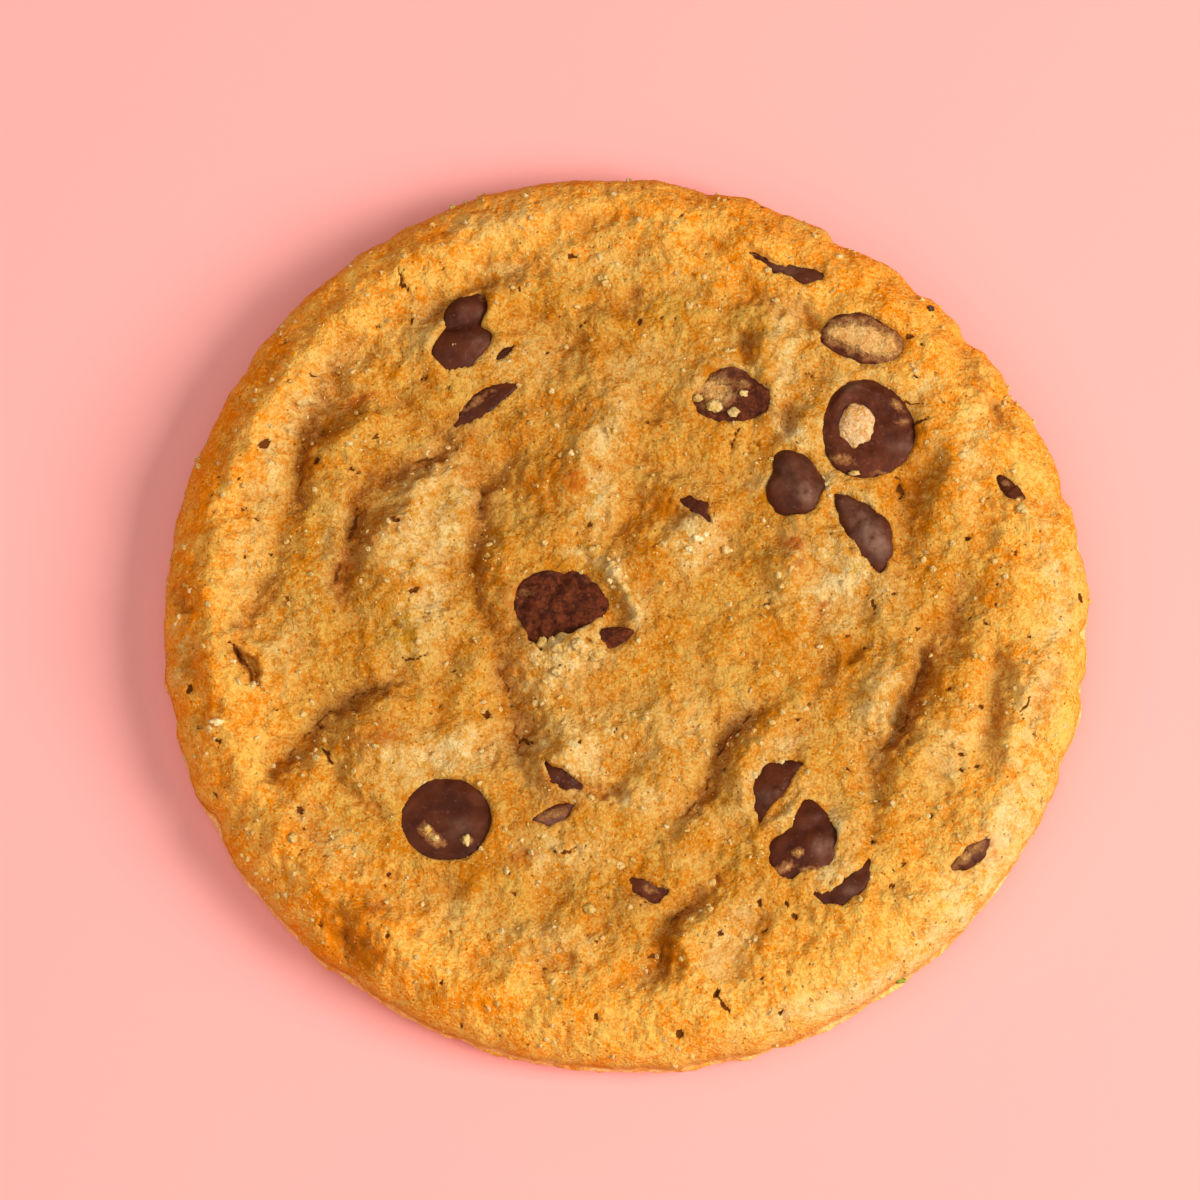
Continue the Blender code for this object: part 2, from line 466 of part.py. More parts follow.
def pebble_surface(pebble, grow=0.0):
    """A sphere pulled out to the chip's outline, flat on top and tapering below."""
    bm = bmesh.new()
    bmesh.ops.create_uvsphere(bm, u_segments=PEBBLE_FACES[0], v_segments=PEBBLE_FACES[1], radius=1.0)
    mean = sum(pebble.radii) / len(pebble.radii)
    level, slope_x, slope_y = tilted_plane(pebble.x, pebble.y, LEAN_REACH * mean)
    power = 2.0 / PEBBLE_POWER
    for vert in bm.verts:
        heading = math.atan2(vert.co.y, vert.co.x)
        upright = max(-1.0, min(1.0, vert.co.z))
        level_part = math.sqrt(1.0 - upright * upright)
        reach = float(radius_at(pebble.radii, np.array([heading]))[0]) + grow
        if upright > 0:
            out = reach * level_part ** power
            rise = (pebble.crown + grow) * upright ** power
        else:
            out = reach * level_part
            rise = (pebble.depth + grow) * upright
        x, y = out * math.cos(heading), out * math.sin(heading)
        z = level + slope_x * x + slope_y * y + pebble.lift - pebble.crown + rise
        vert.co = (pebble.x + x, pebble.y + y, z)
    return bm


def sliver_surface(sliver, grow=0.0):
    """A sphere drawn out along the chip's spine."""
    bm = bmesh.new()
    bmesh.ops.create_uvsphere(bm, u_segments=SLIVER_FACES[0], v_segments=SLIVER_FACES[1], radius=1.0)
    spine = np.array(sliver.spine)
    steps = np.hypot(*np.diff(spine[:, :2], axis=0).T)
    travelled = np.concatenate(([0.0], np.cumsum(steps)))
    length = travelled[-1]
    widest = spine[:, 2].max()
    heights = top_height(spine[:, 0], spine[:, 1])
    for vert in bm.verts:
        pole = max(-1.0, min(1.0, vert.co.z))
        ring = math.sqrt(1.0 - pole * pole)
        turn = math.atan2(vert.co.y, vert.co.x)
        place = length * (pole + 1.0) / 2
        x, y, half, level = (float(np.interp(place, travelled, column))
                             for column in (*spine.T, heights))
        ahead = min(length, place + SPINE_LOOK * length)
        behind = max(0.0, place - SPINE_LOOK * length)
        dx, dy = (float(np.interp(ahead, travelled, column) - np.interp(behind, travelled, column))
                  for column in (spine[:, 0], spine[:, 1]))
        run = math.hypot(dx, dy)
        close = (1.0 - abs(pole) ** SLIVER_END_POWER) ** 0.5 if ring > 0 else 0.0
        side = (half + grow) * close * math.cos(turn)
        share = math.sqrt(half / widest)
        body = sliver.crown if math.sin(turn) > 0 else sliver.depth
        rise = (body * share + grow) * close * math.sin(turn)
        tip = grow * pole ** 3
        vert.co = (x - dy / run * side + dx / run * tip, y + dx / run * side + dy / run * tip,
                   level + sliver.lift - sliver.crown * share + rise)
    return bm


def build_chip(shape, surface, chips, sockets, finish):
    """The chip, and the cutter of its socket."""
    chip = add_object(shape.name, surface(shape), chips, finish)
    cutter = add_object("socket_" + shape.name, surface(shape, SOCKET_GAP), sockets)
    cutter.hide_render = True
    cutter.display_type = "WIRE"
    return chip, cutter


def cut(target, cutter):
    opening = target.modifiers.new("socket", "BOOLEAN")
    opening.operation = "DIFFERENCE"
    opening.solver = "EXACT"
    opening.object = cutter


def build_cookie():
    for old in list(bpy.data.objects):
        bpy.data.objects.remove(old)
    cookie = named_collection("chocolate_chip_cookie")
    sockets = named_collection("sockets")
    baked = material("baked dough", DOUGH_COLOUR, 0.7)
    pale = material("pale crumb", CRUMB_COLOUR, 0.8)
    chocolate = material("dark chocolate", CHOCOLATE_COLOUR, 0.45)
    dough = build_dough(cookie, baked)
    ring = None
    for shape in PEBBLES + SLIVERS:
        surface = pebble_surface if isinstance(shape, Pebble) else sliver_surface
        chip, cutter = build_chip(shape, surface, cookie, sockets, chocolate)
        cut(dough, cutter)
        if shape.name == "chip_ring":
            ring = chip
    _, dish = build_chip(CRUMB_ON_RING, pebble_surface, cookie, sockets, pale)
    cut(ring, dish)


build_cookie()
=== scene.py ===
# %% [markdown]
# # A chocolate chip cookie
# One round of baked dough lies flat on a pale table. Its top is folded and crinkled, its rim is golden, and
# dark chocolate chips sit in it. The solids of the cookie are already made and loaded here as a frame. This
# lesson gives them the surface of a real cookie: crumb, pores, cracks, browned and pale dough, and bloom on
# the chocolate. Sizes are written in millimetres, and `MM` turns them into Blender's metres.

# %% The frame and the units
import math
from collections import namedtuple

import bpy
import numpy as np
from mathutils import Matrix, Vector, noise


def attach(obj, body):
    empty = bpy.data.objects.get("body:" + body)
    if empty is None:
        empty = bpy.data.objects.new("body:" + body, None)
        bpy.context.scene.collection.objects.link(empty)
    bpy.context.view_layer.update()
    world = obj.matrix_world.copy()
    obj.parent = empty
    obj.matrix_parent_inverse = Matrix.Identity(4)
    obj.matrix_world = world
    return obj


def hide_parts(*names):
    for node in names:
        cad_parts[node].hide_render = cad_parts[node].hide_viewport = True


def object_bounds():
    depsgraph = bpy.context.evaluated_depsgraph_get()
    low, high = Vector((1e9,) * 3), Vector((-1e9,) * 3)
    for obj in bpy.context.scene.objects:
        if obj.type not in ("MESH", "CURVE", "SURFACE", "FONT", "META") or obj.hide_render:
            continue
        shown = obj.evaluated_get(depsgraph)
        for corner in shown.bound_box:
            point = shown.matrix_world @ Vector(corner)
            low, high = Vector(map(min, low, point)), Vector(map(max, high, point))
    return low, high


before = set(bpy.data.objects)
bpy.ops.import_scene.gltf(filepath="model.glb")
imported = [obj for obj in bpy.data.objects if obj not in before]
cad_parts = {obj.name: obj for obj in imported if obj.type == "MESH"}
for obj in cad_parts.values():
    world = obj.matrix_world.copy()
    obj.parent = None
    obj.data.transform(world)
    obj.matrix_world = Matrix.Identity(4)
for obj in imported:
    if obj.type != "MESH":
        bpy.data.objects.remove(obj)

MM = 0.001
solid_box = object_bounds()
size_mm = [round((high - low) / MM, 1) for low, high in zip(*solid_box)]
print("solids:", len(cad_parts), "nodes,", size_mm, "mm")

# %% [markdown]
# The camera looks down steeply, 12 degrees off the vertical, from far away, so the round stays almost round
# and only a thin line of the front side shows. It comes first, because every later step is judged through it.

# %% The camera
IMAGE_WIDTH = 1200
PIXELS_PER_MM = 10.5
TILT = math.radians(12.0)
CAMERA_DISTANCE = 600.0
TARGET_HEIGHT = 3.5
SENSOR_WIDTH = 36.0
SHIFT_PIXELS = (-26.0, 20.0)


def add_camera():
    lens = bpy.data.cameras.new("camera")
    lens.sensor_width = SENSOR_WIDTH
    lens.lens = SENSOR_WIDTH * CAMERA_DISTANCE * PIXELS_PER_MM / IMAGE_WIDTH
    lens.shift_x, lens.shift_y = (pixels / IMAGE_WIDTH for pixels in SHIFT_PIXELS)
    lens.clip_start, lens.clip_end = 0.01, 20.0
    camera = bpy.data.objects.new("camera", lens)
    back, up = CAMERA_DISTANCE * math.sin(TILT), CAMERA_DISTANCE * math.cos(TILT)
    camera.location = Vector((0.0, -back, TARGET_HEIGHT + up)) * MM
    camera.rotation_euler = (TILT, 0.0, 0.0)
    bpy.context.scene.collection.objects.link(camera)
    bpy.context.scene.camera = camera
    return camera


camera = add_camera()
print("camera lens:", round(camera.data.lens, 1), "mm")

# %% [markdown]
# Dough spreads as it bakes, so the outline is a circle with a few slow lobes, and the crumbs of its edge
# leave small nicks. In cross-section the top is a plateau that curls over a shoulder down to the side. Both
# are short formulas, the same ones that shaped the solid, so the fine surface lies where the solid does.

# %% The outline and the shoulder
MEAN_RADIUS = 43.5
TOP_HEIGHT = 8.3
SHOULDER_WIDTH = 4.6
WIDEST_HEIGHT = 3.6
SHOULDER_POWER = 2.3
PLATEAU_SHARE = 0.84
PROFILE_STEPS = 400
LOBES = ((2, 0.46, -33.0), (3, 0.17, -2.0), (4, 0.16, 61.0))  # waves round the edge, height, heading
NICKS = (  # heading, depth, half width in degrees
    (60.8, 0.6, 1.7), (48.1, 0.5, 1.5), (39.6, 0.6, 1.6), (30, 0.6, 1.5), (15.9, 0.5, 1.4),
    (8.8, 0.4, 1.4), (-2, 0.6, 1), (-8.7, 0.5, 1.3), (-18.7, 0.5, 1.6), (-152.9, 0.6, 1.6),
    (78.9, 0.4, 2),
)


def smooth_step(value):
    t = np.clip(value, 0.0, 1.0)
    return t * t * (3.0 - 2.0 * t)


def outline_radius(heading, nicked=1.0):
    radius = np.full_like(heading, MEAN_RADIUS)
    for waves_round, height, turn in LOBES:
        radius += height * np.cos(waves_round * heading - math.radians(turn))
    for place, depth, half_width in NICKS:
        away = np.angle(np.exp(1j * (heading - math.radians(place))))
        radius -= nicked * depth * np.exp(-(away / math.radians(half_width)) ** 2)
    return radius


def outline_middle():
    heading = np.linspace(-math.pi, math.pi, 1441)
    radius = outline_radius(heading)
    x, y = radius * np.cos(heading), radius * np.sin(heading)
    return (x.max() + x.min()) / 2, (y.max() + y.min()) / 2


def shoulder(share):
    """Radius as a share of the outline's, height, and how much of the relief is kept there."""
    width = SHOULDER_WIDTH / MEAN_RADIUS
    turn = np.clip((share - PLATEAU_SHARE) / (1.0 - PLATEAU_SHARE), 0.0, 1.0) * math.pi / 2
    power = 2.0 / SHOULDER_POWER
    curved = 1.0 - width + width * np.sin(turn) ** power
    flat = share / PLATEAU_SHARE * (1.0 - width)
    keep = np.cos(turn) ** power
    height = WIDEST_HEIGHT + (TOP_HEIGHT - WIDEST_HEIGHT) * keep
    return np.where(share < PLATEAU_SHARE, flat, curved), height, keep


MIDDLE = outline_middle()
print("outline middle, mm:", [round(float(value), 2) for value in MIDDLE])

# %% [markdown]
# As the dough spreads and falls back it wrinkles. Each mound and hollow is an oval bump, and each fold is a
# groove along a curve with one wall higher than the other. A seeded wander bends all of them a little,
# because a wall of dough is never quite straight.

# %% The mounds and hollows
CREST_HEIGHT = 0.55  # the low swelling just inside the shoulder
CREST_PLACE = 0.89  # as a share of the radius
CREST_SPREAD = 0.05
CREST_LEAN = 0.6  # how much more of it there is on the -X side
Mound = namedtuple("Mound", "x y half_length half_width heading height")


def ovals(*rows):
    """Oval forms or patches: place, half length, half width, heading in degrees, and height or strength."""
    return tuple(Mound(*row) for row in rows)


MOUNDS = ovals(
    (-19.8, 10.2, 4, 2.5, 75, 0.9), (-22.1, 4.3, 4, 2.3, 95, 1), (-19.8, -2.1, 3.2, 2.3, 120, 0.7),
    (-3.4, 15.5, 5.9, 2.5, 72, 1.3), (-7.7, 7.2, 4, 3.4, 60, 0.7), (-1.9, 9.2, 3.2, 1.3, 70, 0.6),
    (-4.9, -4, 3.4, 2.3, 10, 0.9), (-0.4, 2.4, 3.2, 1, -60, 0.7), (4.4, 4.8, 4.4, 2.9, 25, 0.9),
    (16.1, 4.3, 5, 2.3, 65, 1), (20.4, 5.3, 3.4, 2.9, 30, 0.5), (14.2, 25.7, 4.2, 1.9, 85, 0.9),
    (20.4, 18.4, 3.2, 3.8, 80, 0.4), (17, 17, 4.3, 1.3, 80, 0.4), (31.1, 12.6, 5.9, 2.5, 82, 1),
    (28.5, -12.5, 3.8, 2.1, 60, 0.9), (24.2, -7.4, 5.7, 1.9, 65, 0.8), (-23.4, -13.4, 4.8, 3, 75, 1),
    (-15.8, -11.7, 4.2, 2.1, 30, 0.5), (-5.1, -14.2, 3.4, 2.5, 50, 1), (4.4, -12.7, 6.7, 3.8, 65, 0.6),
    (10.9, -15.1, 4, 1.5, 60, 0.9), (14.8, -20.2, 3.3, 0.8, 50, 0.6), (21.5, -21.5, 3.2, 1.3, 80, 0.7),
    (6.9, -32, 4.2, 2.3, 65, 1), (-7.2, -31.5, 4.2, 1.9, 0, 0.6), (20.9, -29.3, 4.4, 2.1, 20, 0.6),
    (-26.8, 15.5, 5.9, 1.7, 50, 0.8), (-27.6, 5.3, 5.7, 1.7, 82, 0.5), (-35.3, 18, 6.7, 1.9, 62, 0.4),
    (-36.8, -7.4, 4.8, 2.9, 70, 0.5), (-22.3, -31.2, 4.2, 2.5, 60, 0.7), (-10.6, 31.4, 4.8, 1.7, 10, 0.6),
    (4, 34, 5.7, 2.1, 15, 0.5), (37, 2.4, 7.6, 2.1, 88, 0.5), (39, -7.3, 4.8, 1.3, 60, 0.4),
    (-30.6, -18.1, 3.8, 2.1, 70, 0.5), (-26.3, -23.9, 3.8, 2.3, -40, 0.5),
    (-10.9, -24.1, 3.4, 2.3, 40, 0.4), (-19.1, 25.7, 3.4, 1.5, 50, 0.7), (31.8, -10.3, 3.8, 1.9, 80, 0.6),
    (-2.5, -29.3, 3.8, 2.5, 20, 0.4),
)
HOLLOWS = ovals(
    (-12.8, 11.6, 4.8, 2.7, 62, -0.8), (-16.3, 2.9, 4.4, 2.1, 110, -0.7), (0, 10.4, 3.2, 1.7, 60, -0.7),
    (9.6, 6.5, 2.9, 2.1, 80, -0.7), (26.9, 11.1, 6.7, 1.8, 88, -0.6), (27.2, -7.4, 4.8, 1.3, 72, -0.7),
    (22.5, -17.1, 5.7, 1.5, 85, -0.6), (-11.5, -10.5, 3.8, 2.5, 80, -1), (-1.2, -1, 3.2, 1.5, 70, -0.6),
    (-28.4, -7.4, 4.2, 2.5, 60, -0.7), (-33.7, -15, 3.4, 1.7, 60, -0.6), (-1.5, -29.3, 2.7, 1.9, 80, -0.5),
    (-18, -27.1, 3.2, 1.9, 20, -0.4), (9.7, -11.7, 3.8, 1.9, 60, -0.5), (12.5, -30, 3.2, 1.7, 60, -0.5),
    (30.9, -25.8, 3.2, 1.9, 30, -0.4), (-6.3, 37.2, 5.7, 1.5, 10, -0.5), (-7.2, 26.4, 4.8, 2.3, 0, -0.4),
    (-25.8, -32, 3.2, 1.5, -45, -0.8), (19, -4.9, 3.2, 1.7, 30, -0.5), (3.2, 14.1, 3.4, 1.3, 0, -0.4),
    (10.9, 9.2, 2.3, 1.3, 60, -0.3),
)
print("mounds:", len(MOUNDS), " hollows:", len(HOLLOWS))

# %% [markdown]
# A fold forms where the dough spreads, stiffens and is pushed against itself. Each runs from the back of the
# cookie to its front as a groove, and the wall on its +X side climbs higher, by its rise. They are the
# strongest lines of the surface, so each is followed point by point.

# %% The folds
Fold = namedtuple("Fold", "route depth rise near_wall far_wall")
FOLDS = (
    Fold(((-8.9, 31.8), (-10.5, 32.3), (-14.6, 31.2), (-17, 29.7), (-21.5, 27.5)), 0.4, 0.3, 1.6, 1.8),
    Fold(((3.2, 31.8), (1.2, 31.2), (0.1, 29.8), (-3.7, 29.5), (-5.7, 29.1)), 0.3, 0.2, 1.4, 1.6),
    Fold(((3.2, 38.3), (-0.6, 38.6), (-3.7, 38.4), (-7.6, 39.7)), 0.3, 0, 1.1, 1.1),
    Fold(((-26.8, 26.2), (-28.6, 20.6), (-30.2, 17.7), (-30.7, 12.5), (-31.2, 10.6), (-33, 6.4)), 0.6, 0.4,
        1.8, 2.2),
    Fold(((-23, 21.2), (-27.3, 19.4), (-28.6, 17.7), (-29.7, 16.2)), 0.3, 0.3, 1.2, 1.4),
    Fold(((-15.2, 17), (-18.4, 14.9), (-22.3, 13.6), (-25, 12.4)), 0.5, 0.7, 1.4, 2),
    Fold(((-23.4, 13.4), (-25.2, 11), (-25.6, 8.3), (-26.7, 5.1), (-27.4, 2.4), (-27.4, -0.6)), 0.6, 0.8,
        1.4, 2.4),
    Fold(((-11.6, 14.5), (-13, 11.7), (-13.8, 9.9), (-14.4, 8.8)), 0.4, 0.2, 0.6, 0.7),
    Fold(((-13.6, 9.2), (-14.1, 5.6), (-13.9, 1.4), (-12.4, -3)), 0.3, 0.4, 1.5, 2.2),
    Fold(((11.4, 31), (13.3, 30.2), (17.1, 28.6), (18.6, 28)), 0.3, 0.1, 0.9, 1),
    Fold(((12.1, 27.8), (11.6, 26), (12.2, 23.6)), 0.5, 0.3, 1, 1.3),
    Fold(((30, 27.5), (32.4, 24.2), (35, 19.9), (37, 17.7), (37.7, 15.9)), 0.3, 0.1, 1.2, 1.2),
    Fold(((30.9, 5.1), (31.4, 2), (30.3, -2.5), (28.3, -4.9), (27.2, -8.1), (26.4, -11.1), (24.4, -13.4),
        (23.4, -17.6)), 0.6, 0.4, 1.5, 2),
    Fold(((41.7, -3.4), (40.3, -6.3), (39.1, -8.8), (38.6, -10.5), (37.3, -12.2)), 0.3, 0.1, 0.8, 1),
    Fold(((34.8, -2.6), (35.3, -6.4), (34.6, -10.6), (33.2, -15)), 0.3, 0.3, 1, 1.3),
    Fold(((32.1, -17.2), (29.4, -17.8)), 0.3, 0, 0.8, 0.8),
    Fold(((23.4, -3.7), (21, -4.2), (19.6, -4.9), (18.4, -7)), 0.4, 0.2, 0.9, 1.2),
    Fold(((14.2, -7.4), (12.7, -9.5), (10.6, -11.2), (8.9, -13.5), (8, -16.2), (6.1, -19.2), (2.3, -20.7)),
        0.6, 0.4, 1.6, 1.9),
    Fold(((-32.4, 4.6), (-35.5, -0.2), (-37.7, -2.7)), 0.3, 0.1, 1.2, 1.3),
    Fold(((-43.1, 3), (-42, 1), (-41, -0.5)), 0.5, 0, 0.8, 0.8),
    Fold(((-20.1, -4.9), (-22.3, -7.3), (-25.4, -8), (-27.8, -9.8), (-30.2, -12.1), (-32.4, -14.8),
        (-33.2, -18.6)), 0.6, 0.4, 1.4, 2),
    Fold(((-12.4, -3), (-11.7, -5.7), (-10.7, -8.1), (-10.2, -12.2), (-9.7, -13.8), (-9.9, -17.5)), 0.5,
        0.3, 1.2, 1.6),
    Fold(((-0.5, -16.7), (-2.1, -17), (-4.2, -17.1)), 0.4, 0, 0.7, 0.8),
    Fold(((8.9, -25.7), (7, -27.3), (5, -29.1), (3.8, -31.3), (3, -34.2), (-0.6, -35.5)), 0.6, 0.3, 1.3,
        1.7),
    Fold(((-10.1, -32.6), (-7.2, -33.5), (-4.1, -34.2)), 0.3, 0, 0.9, 0.9),
    Fold(((-37.2, -3.6), (-36, -5.1), (-34.4, -7.7)), 0.6, 0, 0.4, 0.4),
    Fold(((-27.9, -14.6), (-26.3, -17.1), (-23.4, -19.2), (-21.5, -19.8)), 0.3, 0, 0.9, 1),
    Fold(((14.8, 20.4), (15, 18), (15.6, 16.5)), 0.4, 0.2, 0.9, 1.2),
)
FOLD_END_DEPTH = 0.35  # share of a fold's depth that is left at its ends
FOLD_CLIMB = 1.5  # how wide the higher wall's climb is, in far walls
RISE_REACH = 5.0  # how far the higher wall of a fold stays high
FOLD_TAPER = 0.25  # share of a fold's length over which it fades in and out
ROUTE_STEPS = 5  # straight pieces between two points of a route
print("folds:", len(FOLDS))

# %% [markdown]
# The relief adds all of these up: the crest inside the shoulder, the mounds, the hollows, the folds and a
# slow swell between them. As a sum of formulas it can be read at any place, which the chips need as well.

# %% The relief
# The dough's slow swell between its mounds, and how far the walls of mounds and folds wander sideways
WAVE_COUNT = 22
SWELL_HEIGHT = 0.12
SWELL_LENGTHS = (4.0, 12.0)
SWELL_SEED = 11
WANDER_REACH = 0.3
WANDER_LENGTHS = (5.0, 11.0)
WANDER_SEEDS = (21, 22)


def mound_height(x, y, mound):
    turn = math.radians(mound.heading)
    along = (x - mound.x) * math.cos(turn) + (y - mound.y) * math.sin(turn)
    across = (y - mound.y) * math.cos(turn) - (x - mound.x) * math.sin(turn)
    return mound.height * np.exp(-(along / mound.half_length) ** 2 - (across / mound.half_width) ** 2)


def smooth_route(points):
    """A Catmull-Rom curve through the points, as short straight pieces."""
    ends = [2 * np.array(points[0]) - np.array(points[1]), 2 * np.array(points[-1]) - np.array(points[-2])]
    knots = [ends[0], *map(np.array, points), ends[1]]
    route = []
    for before, start, stop, after in zip(knots, knots[1:], knots[2:], knots[3:]):
        for t in np.arange(ROUTE_STEPS) / ROUTE_STEPS:
            route.append(0.5 * (2 * start + (stop - before) * t
                                + (2 * before - 5 * start + 4 * stop - after) * t ** 2
                                + (3 * start - before - 3 * stop + after) * t ** 3))
    route.append(knots[-2])
    return np.array(route)


def nearest_on_route(x, y, route):
    """Signed distance to the route, positive on the left of its travel, and the share travelled."""
    best = np.full_like(x, np.inf)
    side = np.ones_like(x)
    share = np.zeros_like(x)
    pieces = len(route) - 1
    for index in range(pieces):
        (ax, ay), (bx, by) = route[index], route[index + 1]
        dx, dy = bx - ax, by - ay
        t = np.clip(((x - ax) * dx + (y - ay) * dy) / (dx * dx + dy * dy), 0.0, 1.0)
        away = np.hypot(x - ax - t * dx, y - ay - t * dy)
        closer = away < best
        best = np.where(closer, away, best)
        side = np.where(closer, np.sign(dx * (y - ay) - dy * (x - ax)), side)
        share = np.where(closer, (index + t) / pieces, share)
    return best * side, share


def fold_height(x, y, fold):
    away, share = nearest_on_route(x, y, smooth_route(fold.route))
    fade = smooth_step(np.minimum(share, 1.0 - share) / FOLD_TAPER)
    wall = np.where(away > 0, fold.far_wall, fold.near_wall)
    deepness = FOLD_END_DEPTH + (1.0 - FOLD_END_DEPTH) * fade
    groove = -fold.depth * deepness * np.exp(-(away / wall) ** 2)
    climb = smooth_step(away / (FOLD_CLIMB * fold.far_wall)) * np.exp(-(away / RISE_REACH) ** 2)
    return groove + fold.rise * fade * climb


def waves(x, y, seed, lengths):
    """A sum of waves in seeded directions, about one high."""
    draw = np.random.default_rng(seed)
    total = np.zeros_like(x)
    for _ in range(WAVE_COUNT):
        turn, phase = draw.uniform(0.0, 2 * math.pi, 2)
        length = draw.uniform(*lengths)
        total += np.cos((x * math.cos(turn) + y * math.sin(turn)) * 2 * math.pi / length + phase)
    return total / math.sqrt(WAVE_COUNT / 2)


def crest_height(x, y):
    """The swelling that runs round the plateau, fuller on the -X side."""
    heading = np.arctan2(y, x)
    place = np.hypot(x, y) / outline_radius(heading)
    fullness = 1.0 - CREST_LEAN * np.cos(heading)
    return CREST_HEIGHT * fullness * np.exp(-((place - CREST_PLACE) / CREST_SPREAD) ** 2)


def relief(x, y):
    """How far the dough stands over its plateau."""
    total = SWELL_HEIGHT * waves(x, y, SWELL_SEED, SWELL_LENGTHS) + crest_height(x, y)
    near_x = x + WANDER_REACH * waves(x, y, WANDER_SEEDS[0], WANDER_LENGTHS)
    near_y = y + WANDER_REACH * waves(x, y, WANDER_SEEDS[1], WANDER_LENGTHS)
    for mound in MOUNDS + HOLLOWS:
        total += mound_height(near_x, near_y, mound)
    for fold in FOLDS:
        total += fold_height(near_x, near_y, fold)
    return total


middle_relief = float(relief(np.zeros(1), np.zeros(1))[0])
print("relief at the middle:", round(middle_relief, 2), "mm")

# %% [markdown]
# A chocolate chip is a teardrop that melts a little in the oven and sets again. Only its cap shows. The round
# ones are given by their radii at twelve headings, and the long ones by places and half widths along a spine,
# as seen from above. They have the shapes of the solids, and some of them are moved by up to half a
# millimetre, to where the finer folds leave room for them.

# %% The chips
# A pebble is a rounded chip: radii at even steps round its middle, starting at +X
Pebble = namedtuple("Pebble", "name x y radii lift crown depth")
PEBBLES = (
    Pebble("chip_knobbed", -15.3, 26.7, (3.1, 2, 4.5, 3.9, 3.1, 2.2, 2.4, 3.7, 3.8, 3.5, 2.9, 2.7), 0.3,
        0.9, 3),
    Pebble("chip_ring", 23.2, 17.4, (4.6, 4.4, 4.6, 4.9, 5, 4.6, 4.4, 4.5, 4.8, 4.7, 4.5, 4.5), 0.5, 0.8,
        4.2),
    Pebble("chip_disc", -16.6, -20.1, (4.3, 4.2, 4.1, 4, 4.1, 4.2, 4.3, 4.3, 4.2, 4, 4.1, 4.2), 0.2, 0.5,
        4.4),
    Pebble("chip_cone", 16.3, 12, (2.8, 2.4, 2.7, 3.3, 3.6, 2.5, 2.7, 3, 3.2, 3.2, 3.1, 2.5), 1.1, 1.6,
        2.8),
    Pebble("chip_split", 17, -22.6, (3.1, 3.4, 3.6, 4.3, 2.6, 2.4, 3.4, 3.9, 3.9, 2.4, 2.6, 3), 0.4, 0.9,
        3.2),
    Pebble("chip_centre", -6, 0.7, (4.4, 4.1, 3.5, 3.1, 3.5, 4.1, 4.4, 4.1, 4.6, 3.3, 3.5, 3.8), 0.3, 0.8,
        3.6),
    Pebble("chip_veiled", 22.8, 26.3, (4, 2.7, 2.5, 2.7, 3, 3.6, 4.1, 3.2, 2.4, 2.3, 2.7, 3.6), 0.5, 0.8,
        2.8),
    Pebble("chip_crumbly", 10.2, 20.9, (4.1, 2.9, 2.8, 3, 3.1, 3.1, 4, 3.6, 2.9, 3, 3.2, 4), 0.3, 0.7, 3),
)
CRUMB_ON_RING = Pebble("crumb_on_ring", 22.0, 18.1,
                       (1.8, 1.9, 2.0, 2.1, 1.9, 1.6, 1.5, 1.6, 1.8, 2.3, 2.1, 1.8), 1.1, 0.8, 0.7)

